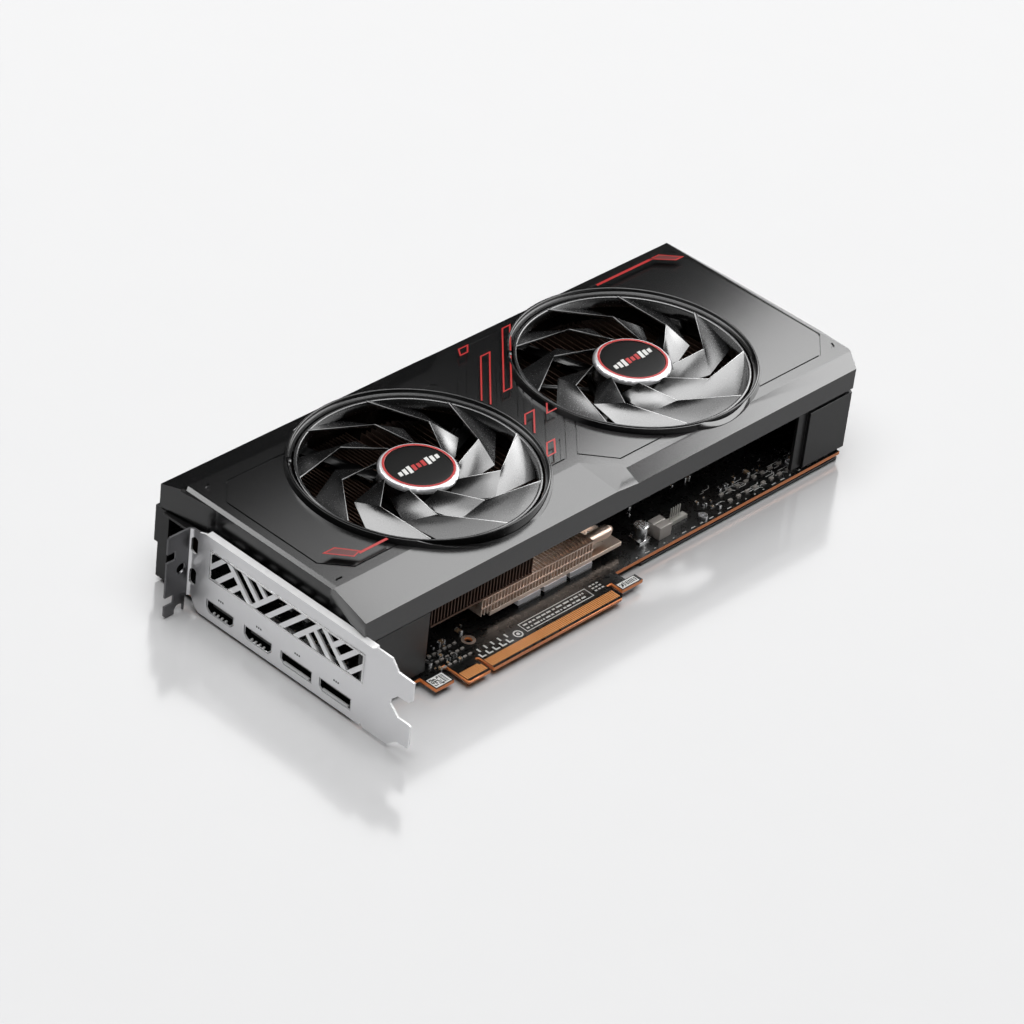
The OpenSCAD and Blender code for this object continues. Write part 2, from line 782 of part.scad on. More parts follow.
module hdmi_tongues() {
    color([0.1, 0.1, 0.1]) for (y = hdmi_ys)
        socket_tongue(y, 11, socket_mid_z + 0.4, hdmi_depth);
}

module displayport_shells() {
    color("silver") for (y = displayport_ys)
        socket_shell(displayport_outline, y, displayport_depth);
}

module displayport_tongues() {
    color([0.1, 0.1, 0.1]) for (y = displayport_ys)
        socket_tongue(y, 12.6, socket_mid_z + 0.9, displayport_depth);
}

power_xs = [85, 107];
power_y = [37, 50];
power_cell = 4.2;

// Two-row power sockets lying on the board, open towards +Y
module power_sockets() {
    z0 = board_top;
    w = power_cell * 4 + 1.2;
    h = power_cell * 2 + 1.2;
    color([0.07, 0.07, 0.07]) for (x = power_xs) difference() {
        union() {
            block([x - w / 2, power_y[0], z0], [x + w / 2, power_y[1], z0 + h]);
            // Latch ramp on top
            block([x - 3, power_y[0] + 3, z0 + h - 0.1], [x + 3, power_y[1] - 2, z0 + h + 1.4]);
        }
        for (i = [0:3], j = [0, 1])
            translate([x - w / 2 + 0.95 + i * power_cell, power_y[0] + 2, z0 + 0.95 + j * power_cell])
                cube([power_cell - 0.7, 20, power_cell - 0.7]);
    }
}

module power_pins() {
    w = power_cell * 4 + 1.2;
    color("goldenrod") for (x = power_xs, i = [0:3], j = [0, 1])
        translate([x - w / 2 + 2.3 + i * power_cell, power_y[0] + 2,
            board_top + 2.3 + j * power_cell])
            cube([0.8, 8, 0.8]);
}

// Fan cable headers on the board, one for each fan, open at the top
header_xs = [11, 19];
header_y = 36;

module fan_headers() {
    color("white") for (x = header_xs) difference() {
        block([x - 2, header_y - 2.5, board_top], [x + 2, header_y + 2.5, board_top + 4.6]);
        block([x - 1.4, header_y - 1.9, board_top + 1], [x + 1.4, header_y + 1.9, board_top + 5]);
    }
}

function unit(v) = v / norm(v);

// Wire swept along a route that stays in one upright plane
module wire(route, r) {
    sides = 8;
    last = len(route) - 1;
    across = unit([route[0].y - route[1].y, route[1].x - route[0].x, 0]);
    points = [for (i = [0:last], k = [0:sides - 1])
        let (along = unit(route[min(i + 1, last)] - route[max(i - 1, 0)]),
            a = k * 360 / sides)
            route[i] + r * (cos(a) * across + sin(a) * cross(along, across))];
    walls = [for (i = [0:last - 1], k = [0:sides - 1], half = [0, 1])
        let (a = i * sides + k, b = i * sides + (k + 1) % sides)
            half == 0 ? [a, b + sides, b] : [a, a + sides, b + sides]];
    caps = [for (k = [1:sides - 2], end = [0, last * sides])
        end == 0 ? [0, k, k + 1] : [end, end + k + 1, end + k]];
    polyhedron(points, concat(walls, caps));
}

// Pair of wires from each motor base, level under the frame and then down into its header
module fan_cables() {
    z = 34.35;
    corner_r = 4;
    half_gap = 0.9;
    color("black") for (f = [0, 1], k = [-half_gap, half_gap]) {
        side = f == 0 ? 1 : -1;
        start = [fan_xs[f] + side * 9, 4 + k, z];
        corner = [header_xs[f], header_y + k, z];
        level = unit(corner - start);
        wire(concat([start, start + (corner - start) / 2],
            [for (a = [0:22.5:90])
                corner - corner_r * (1 - sin(a)) * level - [0, 0, corner_r * (1 - cos(a))]],
            [[corner.x, corner.y, board_top + 1.3]]), 0.55);
    }
}

// Small resistors and capacitors round the processor and beside the edge connector
module surface_parts() {
    color("tan") {
        for (i = [0:5], j = [0:2])
            translate([-100 + i * 2.7, -58.5 + j * 4.2, board_top]) cube([1.6, 0.8, 0.6]);
        for (i = [0:8], s = [-1, 1])
            translate([gpu_x - 16 + i * 4, gpu_y - 0.5 + s * 23, board_top]) cube([0.8, 1.6, 0.7]);
        for (i = [0:7], j = [0, 1])
            translate([68 + i * 5, -53 + j * 5, board_top]) cube([2, 1.2, 0.8]);
        for (i = [0:5])
            translate([-131, -40 + i * 3.4, board_top]) cube([1.6, 0.8, 0.6]);
    }
}

// ---------------------------------------------------------------- bracket

plate_inner_x = plate_x + sheet_t;
bend_radius = 2.5;
hook_end = tongue_y;

// Bracket outline, from the tab's bend down to the tongue that drops into the chassis
bracket_outline = [[32.6, 6.5], [30, 2.5], [28, 1.2], [-59.5, 1.2], [-60, 2.6], [-61.5, 1],
    [-74, 1], [-76, 2.5], [-79, 5], [-84.6, 5.4], [hook_end, 6.5], [hook_end, 15.2],
    [-84, 15.8], [-78.3, 15.9], [-73.9, 20], [-74, 21.6], [-77.6, 25.2], [-83, 25.4],
    [hook_end, 27.3], [hook_end + 0.2, 35.3], [-76.6, 35.6], [-73, 39.9], [-65.5, 40],
    [-63, bracket_top], [27, bracket_top], [30, 37.5], [32.6, 37.5]];

// The vent band and its middle; slots run at 45 degrees and are the same turned by half a turn
vent_low = [-59.7, 20];
vent_high = [23.3, 33.4];
vent_mid = (vent_low + vent_high) / 2;

// Area between two diagonals; rising runs up towards -Y, falling runs up towards +Y
module rising(c0, c1) {
    polygon([[-c0 - 60, 60], [-c1 - 60, 60], [-c1 + 60, -60], [-c0 + 60, -60]]);
}

module falling(d0, d1) {
    polygon([[-d0 - 60, -60], [-d1 - 60, -60], [-d1 + 60, 60], [-d0 + 60, 60]]);
}

module vent_half() {
    intersection() {
        falling(-60, 17.65);
        union() {
            rising(-80, -49.8);
            rising(-47, -41.4);
            rising(-38.5, -33.8);
            rising(-30.8, -10);
        }
    }
    intersection() {
        rising(-80, -21.6);
        union() {
            falling(20.85, 25.7);
            falling(28.8, 33.6);
            falling(36.5, 60);
        }
    }
}

module vents() {
    intersection() {
        translate(vent_low) square(vent_high - vent_low);
        union() {
            vent_half();
            translate(vent_mid) rotate(180) translate(-vent_mid) vent_half();
            rising(-18.65, -13.8);
            rising(-10.9, -6.2);
            rising(-3.2, 1.65);
        }
    }
}

// Rounded slot standing upright in the bracket's plane
module oval(y, z0, z1, w) {
    translate([y - w / 2, z0 + w / 2]) square([w, z1 - z0 - w]);
    for (z = [z0 + w / 2, z1 - w / 2]) translate([y, z]) circle(r = w / 2, $fn = 32);
}

// Tab that is screwed to the chassis, drawn in X and Z
module tab_outline() {
    tab_end = plate_x - tab_reach;
    hole_x = -150.2;
    difference() {
        polygon([[plate_inner_x - bend_radius, 0], [plate_inner_x - bend_radius, 37.5],
            [tab_end + 1, 37.5], [tab_end, 36.5], [tab_end, 1], [tab_end + 1, 0]]);
        for (z = [25.7, 5.4]) translate([tab_end - 1, z]) square([5.4, 4]);
        translate([hole_x, 20.4]) circle(r = 2.25);
        translate([hole_x, 1.4]) circle(r = 2.25);
        translate([hole_x - 2.25, -2]) square([4.5, 3.4]);
    }
}

module io_bracket() {
    color([0.2, 0.2, 0.21]) difference() {
        union() {
            along_x(plate_x, plate_inner_x) difference() {
                polygon(bracket_outline);
                vents();
                for (y = hdmi_ys) translate([y, socket_mid_z])
                    inner_outline(hdmi_outline, -0.2);
                for (y = displayport_ys) translate([y, socket_mid_z])
                    inner_outline(displayport_outline, -0.2);
            }
            // Bend into the tab
            translate([plate_inner_x - bend_radius, tab_y - bend_radius, 6.5])
                linear_extrude(31) intersection() {
                    difference() {
                        circle(r = bend_radius);
                        circle(r = bend_radius - sheet_t);
                    }
                    square(10);
                }
            along_y(tab_y - sheet_t, tab_y) tab_outline();
            // Top flange
            block([plate_x, -63.4, bracket_top - sheet_t], [plate_x + 3.3, 26.6, bracket_top]);
            // Lugs on the board
            for (y = lug_ys)
                block([plate_inner_x - 0.1, y - 2.3, board_top],
                    [-136, y + 2.3, board_top + sheet_t]);
        }
        along_x(plate_x - 3, plate_inner_x + 1) {
            oval(32.1, 26.5, 34, 3.2);
            oval(32.1, 12, 19.5, 3.2);
        }
        for (p = lug_holes) translate(p) disc(1.25, 3, 7);
    }
}

module bracket_screws() {
    color("silver") for (p = lug_holes)
        translate([p.x, p.y, board_top + sheet_t]) screw(2.1, 1.4, 1.1, 2.6);
}

// ---------------------------------------------------------------- covers and backplate

// Cover behind the bracket: a wall on the near side, two stepped blocks on the other
module io_end_cover() {
    wall = 1.6;
    top = 33.5;
    lug = [31.3, 32.7];
    color([0.09, 0.09, 0.095]) difference() {
        union() {
            block([-144, -56.3, 6], [-108.5, -54.85, top]);
            block([-109.9, -55, 6], [-108.5, -50, top]);
            // Rail under the shroud's edge
            block([-144, -55, top - 1], [-139, 52, top]);
            // Stepped blocks beside the board
            difference() {
                block([-142.5, 50.2, 17], [-120, 57.8, top]);
                block([-142.5 + wall, 49, 17 + wall], [-119, 57.8 - wall, top - wall]);
            }
            difference() {
                block([-142.5, 50.2, 1.5], [-120, 55.8, 17.5]);
                block([-142.5 + wall, 49, 1.5 + wall], [-119, 55.8 - wall, 17 - 0.2]);
            }
            block([-131.5, -55, lug[0]], [-124.5, -44, lug[1]]);
            block([-131.5, 43.5, lug[0]], [-124.5, 51, lug[1]]);
        }
        for (i = [0, 1]) translate(cover_bosses[i]) disc(1.2, 25, 33);
    }
}

// Plan of the far end, as the shroud's outline
module far_plan(inset) {
    polygon([[90, side_low + inset], [133.5 - inset * 0.5, side_low + inset],
        [139 - inset, -47.5], [far_face - inset, -30], [far_face - inset, 20],
        [139.5 - inset, 51.5], [138 - inset, side_high - inset], [90, side_high - inset]]);
}

// Cover that wraps the far end under the shroud
module far_end_cover() {
    wall = 1.6;
    low = 6;
    top = 32.6;
    lug_z = top - 1.4;
    color([0.09, 0.09, 0.095]) difference() {
        union() {
            translate([0, 0, low]) linear_extrude(top - low) difference() {
                far_plan(0);
                far_plan(wall);
                translate([80, -60]) square([28, 30]);
                translate([80, 20]) square([38, 40]);
                translate([70, -55.1]) square([30, 110.2]);
            }
            // Recessed strip beside the near wall
            block([102.5, -55.2, low], [108.4, -53.8, top]);
            block([112, -55.4, lug_z], [120, -45, top]);
            block([127.5, 42.5, lug_z], [139, 50, top]);
        }
        for (i = [2, 3]) translate(cover_bosses[i]) disc(1.2, 25, 33);
    }
}

module cover_screws() {
    color("silver") {
        for (i = [0, 1]) translate([cover_bosses[i].x, cover_bosses[i].y, 31.3])
            mirror([0, 0, 1]) screw(2.1, 1.3, 1, 6);
        for (i = [2, 3]) translate([cover_bosses[i].x, cover_bosses[i].y, 31.2])
            mirror([0, 0, 1]) screw(2.1, 1.3, 1, 6);
    }
}

module backplate() {
    plate = 1.2;
    opening = 76;
    color([0.12, 0.12, 0.13]) difference() {
        union() {
            linear_extrude(plate) polygon([[-141, -50], [6.5, -50], [12.5, -56.2], [131, -56.2],
                [137.5, -49.5], [137.5, 46], [133.5, 50], [-137, 50], [-141, 46]]);
            // Upturned far end
            block([136.3, -48, 0], [137.5, 45, 5]);
            for (p = backplate_holes) translate(p) disc(2.8, 0.5, board_z);
        }
        translate([gpu_x - opening / 2, gpu_y - opening / 2, -1]) cube([opening, opening, 3]);
        for (p = backplate_holes) translate(p) disc(1 + thread_clearance, -1, 4);
        for (p = post_sites) translate(p) disc(2.7, -1, 2);
        // Vent slots over the board's far half
        for (i = [0:6])
            translate([34 + i * 12, -20, -1]) linear_extrude(3)
                polygon([[0, 0], [4, 0], [24, 30], [20, 30]]);
    }
}

module backplate_screws() {
    color("silver") for (p = backplate_holes)
        translate([p.x, p.y, board_top]) screw(2, 1.2, 1, 3.6);
}

module shroud_screws() {
    color("silver") for (p = post_sites)
        translate([p.x, p.y, board_z]) mirror([0, 0, 1]) screw(2.4, 1.3, 1, 9);
}

// X-shaped leaf spring behind the board, under the processor
module spring_bracket() {
    arm = spring_pitch / sqrt(2) + 3.6;
    low = 1.5;
    color("silver") difference() {
        union() {
            translate([gpu_x, gpu_y, low]) linear_extrude(0.8) {
                for (a = [45, 135]) rotate(a) translate([-arm, -3.6]) square([2 * arm, 7.2]);
                circle(r = 15);
            }
            at_springs() disc(3.2, low + 0.7, board_z);
        }
        at_springs() disc(1.3, 0, 4);
        translate([gpu_x, gpu_y, 0]) disc(8, 0, 4);
    }
}

module spring_screws() {
    color("silver") at_springs()
        translate([0, 0, 1.5]) mirror([0, 0, 1]) screw(2.5, 1.3, 1.2, 7.6);
}

shroud();
fan_frame(front_x);  // front_fan_frame
fan_frame(rear_x);  // rear_fan_frame
rotor(front_x, 38.2);  // front_rotor
rotor(rear_x, 17.7);  // rear_rotor
hub_badge(front_x);  // front_hub_badge
hub_badge(rear_x);  // rear_hub_badge
trim_ring(front_x);  // front_trim_ring
trim_ring(rear_x);  // rear_trim_ring
magnet_ring(front_x);  // front_magnet_ring
magnet_ring(rear_x);  // rear_magnet_ring
stator(front_x);  // front_stator
stator(rear_x);  // rear_stator
coils(front_x);  // front_coils
coils(rear_x);  // rear_coils
shaft(front_x);  // front_shaft
shaft(rear_x);  // rear_shaft
bearings(front_x);  // front_bearings
bearings(rear_x);  // rear_bearings
fan_screws();
front_fins();
lower_fins();
centre_fins();
rear_fins();
heat_pipes();
cold_plate();
plate_standoffs();
thermal_paste();
memory_pads();
memory_chips();
gpu_package();
inductors();
can_capacitors();
power_stages();
choke_block();
pin_header();
circuit_board();
edge_contacts();
hole_rings();
hdmi_shells();
hdmi_tongues();
displayport_shells();
displayport_tongues();
power_sockets();
power_pins();
fan_headers();
fan_cables();
surface_parts();
io_bracket();
bracket_screws();
io_end_cover();
far_end_cover();
cover_screws();
backplate();
backplate_screws();
shroud_screws();
spring_bracket();
spring_screws();
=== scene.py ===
"""Looks of a dual-fan graphics card: details, materials, light and camera over the CAD frame."""

import json
import math
import random

import bmesh
import bpy
from mathutils import Matrix, Vector


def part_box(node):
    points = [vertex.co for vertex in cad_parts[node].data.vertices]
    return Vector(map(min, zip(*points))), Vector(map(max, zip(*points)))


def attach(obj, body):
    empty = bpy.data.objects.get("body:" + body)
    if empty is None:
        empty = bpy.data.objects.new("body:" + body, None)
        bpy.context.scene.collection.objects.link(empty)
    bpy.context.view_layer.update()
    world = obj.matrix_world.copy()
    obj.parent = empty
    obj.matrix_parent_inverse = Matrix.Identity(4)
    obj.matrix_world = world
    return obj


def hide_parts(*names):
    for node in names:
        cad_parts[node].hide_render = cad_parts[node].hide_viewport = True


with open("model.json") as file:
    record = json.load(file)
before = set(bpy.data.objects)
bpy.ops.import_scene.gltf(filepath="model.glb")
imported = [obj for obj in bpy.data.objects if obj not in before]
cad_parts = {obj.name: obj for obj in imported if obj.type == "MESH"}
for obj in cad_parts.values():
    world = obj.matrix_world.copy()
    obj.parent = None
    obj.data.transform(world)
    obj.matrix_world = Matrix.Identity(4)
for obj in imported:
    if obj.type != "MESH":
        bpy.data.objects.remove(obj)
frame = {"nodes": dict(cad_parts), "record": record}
nodes = frame["nodes"]
body_of = {n: b for b, members in frame["record"]["behaviour"]["bodies"].items() for n in members}
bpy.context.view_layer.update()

MM = 0.001
CARD = "card"
FANS = {"front": "front_fan", "rear": "rear_fan"}

# Driving sizes, read from the frame (metres)
deck_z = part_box("shroud")[1].z
board_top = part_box("circuit_board")[1].z
fan_x = {f: sum((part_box(f + "_rotor")[k].x for k in (0, 1))) / 2 for f in FANS}

# Where the CAD puts the bracket and the edge of the deck
BRACKET_X = -0.1457  # outer face of the bracket (metres)
PORT_Y = (16.3, -4.6, -25.5, -46.4)  # middles of the display sockets (millimetres)
LIP_R = 51.95  # foot of the lip round each fan opening (millimetres)

INK_T = 0.03  # thickness of the board's silkscreen (millimetres)
DECK_INK_T = 0.04  # thickness of the deck's red lines (millimetres)
SHARP = 30  # edges above this angle stay sharp (degrees)
random.seed(4)


# ------------------------------------------------------------------ materials

def node_material(name):
    """An empty node material and its principled shader."""
    m = bpy.data.materials.new(name)
    m.use_nodes = True
    return m, m.node_tree, m.node_tree.nodes["Principled BSDF"]


def noise(tree, scale, detail=6.0, stretch=(1, 1, 1)):
    """Noise in object space, with an optional stretch for brushed or moulded grain."""
    place = tree.nodes.new("ShaderNodeTexCoord")
    mapping = tree.nodes.new("ShaderNodeMapping")
    mapping.inputs["Scale"].default_value = stretch
    texture = tree.nodes.new("ShaderNodeTexNoise")
    texture.inputs["Scale"].default_value = scale
    texture.inputs["Detail"].default_value = detail
    tree.links.new(place.outputs["Object"], mapping.inputs["Vector"])
    tree.links.new(mapping.outputs["Vector"], texture.inputs["Vector"])
    return texture.outputs["Fac"]


def ramp(tree, value, low, high):
    """Maps the middle half of a 0 to 1 value to the range between two numbers."""
    spread = tree.nodes.new("ShaderNodeMapRange")
    spread.inputs["From Min"].default_value = 0.25
    spread.inputs["From Max"].default_value = 0.75
    spread.inputs["To Min"].default_value = low
    spread.inputs["To Max"].default_value = high
    tree.links.new(value, spread.inputs["Value"])
    return spread.outputs["Result"]


def tint(tree, value, first, second):
    """Mixes two colours by a 0 to 1 value."""
    mix = tree.nodes.new("ShaderNodeMix")
    mix.data_type = "RGBA"
    mix.inputs["A"].default_value = (*first, 1)
    mix.inputs["B"].default_value = (*second, 1)
    tree.links.new(value, mix.inputs["Factor"])
    return mix.outputs["Result"]


def bump(tree, value, strength, distance):
    """Surface normal raised by a value; distance is in metres."""
    node = tree.nodes.new("ShaderNodeBump")
    node.inputs["Strength"].default_value = strength
    node.inputs["Distance"].default_value = distance
    tree.links.new(value, node.inputs["Height"])
    return node.outputs["Normal"]


def surface(name, colour, second, rough, metal=0.0, grain=900, relief=0.08, stretch=(1, 1, 1),
            spec=0.5):
    """Material with grain in its colour, roughness and relief. rough is a (low, high) pair."""
    m, tree, shader = node_material(name)
    broad = noise(tree, 28, 4)
    fine = noise(tree, grain, 5, stretch)
    tree.links.new(tint(tree, broad, colour, second), shader.inputs["Base Color"])
    tree.links.new(ramp(tree, fine, *rough), shader.inputs["Roughness"])
    if relief:
        tree.links.new(bump(tree, fine, relief, 0.0002), shader.inputs["Normal"])
    shader.inputs["Metallic"].default_value = metal
    shader.inputs["Specular IOR Level"].default_value = spec
    return m


def solder_mask():
    """Black board: glossy mask over a faint grid of traces."""
    m, tree, shader = node_material("solder_mask")
    place = tree.nodes.new("ShaderNodeTexCoord")
    traces = tree.nodes.new("ShaderNodeTexBrick")
    traces.inputs["Scale"].default_value = 160
    traces.inputs["Mortar Size"].default_value = 0.03
    traces.inputs["Color1"].default_value = (0.0018, 0.002, 0.002, 1)
    traces.inputs["Color2"].default_value = (0.0035, 0.004, 0.004, 1)
    traces.inputs["Mortar"].default_value = (0.01, 0.01, 0.009, 1)
    tree.links.new(place.outputs["Object"], traces.inputs["Vector"])
    tree.links.new(traces.outputs["Color"], shader.inputs["Base Color"])
    tree.links.new(ramp(tree, noise(tree, 400), 0.22, 0.36), shader.inputs["Roughness"])
    tree.links.new(bump(tree, traces.outputs["Fac"], 0.12, 0.0001), shader.inputs["Normal"])
    return m


MATS = {
    "shroud": surface("shroud_plastic", (0.0015, 0.0015, 0.0016), (0.0025, 0.0025, 0.0026),
                      (0.2, 0.24), grain=2600, relief=0.03, spec=0.8),
    "frame": surface("frame_plastic", (0.003, 0.003, 0.0032), (0.005, 0.005, 0.005), (0.2, 0.28),
                     grain=1200, relief=0.03, spec=0.4),
    "blade": surface("blade_plastic", (0.003, 0.003, 0.0032), (0.005, 0.005, 0.0052), (0.25, 0.28),
                     grain=1400, relief=0, spec=1.0),
    "badge": surface("badge_gloss", (0.006, 0.006, 0.006), (0.009, 0.009, 0.009), (0.3, 0.33),
                     grain=1500, relief=0, spec=0.08),
    "chrome": surface("satin_metal", (0.5, 0.5, 0.51), (0.56, 0.56, 0.57), (0.3, 0.36), 0.6,
                      grain=700, relief=0.02),
    "red": surface("red_print", (0.36, 0.01, 0.009), (0.44, 0.014, 0.012), (0.3, 0.4), relief=0.02),
    "pink": surface("red_tint", (0.07, 0.012, 0.011), (0.09, 0.015, 0.014), (0.3, 0.4),
                    relief=0.02),
    "steel": surface("plated_steel", (0.62, 0.62, 0.63), (0.7, 0.7, 0.71), (0.24, 0.36), 1.0,
                     grain=600, relief=0.04, stretch=(1, 6, 1)),
    "bracket": surface("bracket_steel", (0.82, 0.82, 0.83), (0.9, 0.9, 0.91), (0.3, 0.42), 1.0,
                       grain=500, relief=0.05, stretch=(1, 8, 1)),
    # Near-black for the inner walls of the display sockets: painted shade.
    "dark": surface("socket_painted_shade", (0.002, 0.002, 0.002), (0.004, 0.004, 0.004), (0.4, 0.5),
                    spec=0.2),
    # Lighter copy of the bracket steel: painted highlight on its upward faces and in the socket
    # mouths.
    "flange": surface("steel_painted_highlight", (0.7, 0.7, 0.7), (0.8, 0.8, 0.8), (0.3, 0.42), 0.3,
                      grain=500, relief=0.05),
    # Darker copy of the bracket steel for the bent tab: painted shade.
    "tab": surface("tab_painted_shade", (0.12, 0.12, 0.125), (0.16, 0.16, 0.165), (0.34, 0.44), 0.9,
                   grain=500, relief=0.05, stretch=(1, 8, 1)),
    # Lighter grey for the blades' leading-edge faces: a painted highlight along the edges.
    "blade_edge_highlight": surface("blade_edge_highlight", (0.42, 0.42, 0.42), (0.5, 0.5, 0.5), (0.2, 0.24),
                          grain=1400, relief=0, spec=1.0),
    "cover": surface("cover_plastic", (0.004, 0.004, 0.0042), (0.006, 0.006, 0.006), (0.3, 0.4),
                     grain=1800, relief=0.05, spec=0.4),
    "backplate": surface("backplate_paint", (0.012, 0.012, 0.013), (0.017, 0.017, 0.018),
                         (0.34, 0.46), 0.4, grain=2200, relief=0.07),
    "fins": surface("fin_metal", (0.78, 0.62, 0.52), (0.88, 0.74, 0.64), (0.3, 0.45), 0.6,
                    grain=300, relief=0.03),
    # Darker copy of the fin metal for the fins under the shroud: painted shade.
    "fins_painted_shade": surface("fin_metal_painted_shade", (0.06, 0.035, 0.025), (0.09, 0.055, 0.04), (0.3, 0.45),
                         0.8, grain=300, relief=0.03),
    "plate": surface("plate_metal", (0.62, 0.5, 0.42), (0.74, 0.6, 0.5), (0.25, 0.4), 0.9,
                     grain=350, relief=0.04),
    "copper": surface("copper_metal", (0.5, 0.37, 0.3), (0.62, 0.48, 0.4), (0.3, 0.45), 0.7,
                      grain=350, relief=0.04),
    "contact": surface("contact_gold", (0.8, 0.32, 0.1), (0.9, 0.4, 0.15), (0.25, 0.35), 0.1,
                       grain=900, relief=0.03),
    "gold": surface("gold_plate", (0.86, 0.55, 0.2), (0.95, 0.66, 0.3), (0.2, 0.3), 1.0,
                    grain=900, relief=0.02),
    "winding": surface("copper_wire", (0.5, 0.18, 0.06), (0.7, 0.3, 0.12), (0.2, 0.35), 0.9,
                       grain=240, relief=0.5, stretch=(1, 1, 14)),
    "magnet": surface("bonded_magnet", (0.03, 0.03, 0.032), (0.05, 0.05, 0.052), (0.5, 0.65)),
    "pad": surface("thermal_pad", (0.8, 0.8, 0.84), (0.88, 0.88, 0.92), (0.6, 0.75),
                   grain=700, relief=0.3),
    "epoxy": surface("chip_epoxy", (0.012, 0.012, 0.012), (0.018, 0.018, 0.018), (0.42, 0.55),
                     grain=3000, relief=0.15),
    "package": surface("chip_package", (0.015, 0.04, 0.025), (0.02, 0.055, 0.035), (0.3, 0.4)),
    "ferrite": surface("ferrite_block", (0.34, 0.31, 0.29), (0.42, 0.39, 0.36), (0.4, 0.55), 0.2,
                       grain=900, relief=0.2),
    "can": surface("can_metal", (0.7, 0.7, 0.7), (0.8, 0.8, 0.8), (0.16, 0.28), 1.0, relief=0.03),
    "connector": surface("connector_plastic", (0.01, 0.01, 0.01), (0.016, 0.016, 0.016),
                         (0.3, 0.42), grain=1500),
    "pale": surface("pale_plastic", (0.62, 0.6, 0.55), (0.7, 0.68, 0.63), (0.4, 0.5)),
    "wire": surface("wire_jacket", (0.008, 0.008, 0.008), (0.014, 0.014, 0.014), (0.35, 0.5)),
    "ceramic": surface("ceramic_parts", (0.32, 0.2, 0.11), (0.45, 0.32, 0.2), (0.3, 0.5),
                       grain=260),
    "tin": surface("tinned_ends", (0.7, 0.7, 0.7), (0.8, 0.8, 0.8), (0.2, 0.35), 1.0),
    "ink": surface("white_ink", (0.62, 0.62, 0.6), (0.72, 0.72, 0.7), (0.45, 0.6), relief=0.05),
    "label": surface("label_paper", (0.8, 0.8, 0.78), (0.86, 0.86, 0.84), (0.4, 0.55)),
    "label_ink": surface("label_ink", (0.01, 0.01, 0.01), (0.015, 0.015, 0.015), (0.4, 0.5)),
    "mask": solder_mask(),
    "edge": surface("board_edge", (0.7, 0.2, 0.05), (0.85, 0.3, 0.09), (0.35, 0.5), 0.1,
                    grain=700, relief=0.2, stretch=(1, 1, 12)),
}

NODE_LOOKS = {
    "shroud": "shroud", "fan_frame": "frame", "rotor": "blade", "hub_badge": "badge",
    "trim_ring": "chrome", "magnet_ring": "magnet", "stator": "steel", "coils": "winding",
    "shaft": "steel", "bearings": "steel", "fan_screws": "steel", "lower_fins": "fins",
    # The fins under the shroud take the darker fin metal: painted shade.
    "front_fins": "fins_painted_shade", "centre_fins": "fins_painted_shade", "rear_fins": "fins_painted_shade",
    "heat_pipes": "copper", "cold_plate": "plate", "plate_standoffs": "gold",
    "thermal_paste": "pad", "memory_pads": "pad", "memory_chips": "epoxy",
    "gpu_package": "package", "inductors": "ferrite", "can_capacitors": "can",
    "power_stages": "epoxy", "choke_block": "ferrite", "pin_header": "pale",
    "circuit_board": "mask", "edge_contacts": "contact", "hole_rings": "copper",
    "hdmi_shells": "steel", "hdmi_tongues": "connector", "displayport_shells": "steel",
    "displayport_tongues": "connector", "power_sockets": "connector", "power_pins": "gold",
    "fan_headers": "pale", "fan_cables": "wire", "surface_parts": "ferrite",
    "io_bracket": "bracket", "bracket_screws": "steel", "io_end_cover": "cover",
    "far_end_cover": "cover", "cover_screws": "steel", "backplate": "backplate",
    "backplate_screws": "steel", "shroud_screws": "steel", "spring_bracket": "steel",
    "spring_screws": "steel",
}


def look_of(node):
    """A node's material: by its own name, or by its name without the fan it belongs to."""
    if node in NODE_LOOKS:
        return MATS[NODE_LOOKS[node]]
    return MATS[NODE_LOOKS[node.split("_", 1)[1]]]


def wear(obj, *materials):
    """Replaces an object's materials."""
    obj.data.materials.clear()
    for m in materials:
        obj.data.materials.append(m)


# ------------------------------------------------------------------ mesh tools

def new_mesh(name, bm):
    """Mesh from a bmesh, which is freed."""
    mesh = bpy.data.meshes.new(name)
    bm.to_mesh(mesh)
    bm.free()
    return mesh


def new_object(name, mesh, body, *materials):
    """Object that rides on a body."""
    obj = bpy.data.objects.new(name, mesh)
    bpy.context.scene.collection.objects.link(obj)
    for m in materials:
        mesh.materials.append(m)
    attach(obj, body)
    return obj


def smooth(obj):
    """Smooth shading with sharp edges kept."""
    mesh = obj.data
    mesh.shade_smooth()
    mesh.set_sharp_from_angle(angle=math.radians(SHARP))


def add_bevel(obj, width, segments, above):
    """Rounds the edges above an angle (degrees) by a width in millimetres."""
    bevel = obj.modifiers.new("edges", "BEVEL")
    bevel.width = width * MM
    bevel.segments = segments
    bevel.limit_method = "ANGLE"
    bevel.angle_limit = math.radians(above)
    return bevel


# How a CAD node's facets are merged and rounded (angles in degrees)
MERGE_GAP = 2e-6  # points closer than this are one (metres)
MERGE_BELOW = 0.5  # facets that meet below this angle become one face
CREASE_ABOVE = 2  # large faces that meet above this angle keep a crease
ROUND_ABOVE = 32  # edges above this angle are rounded


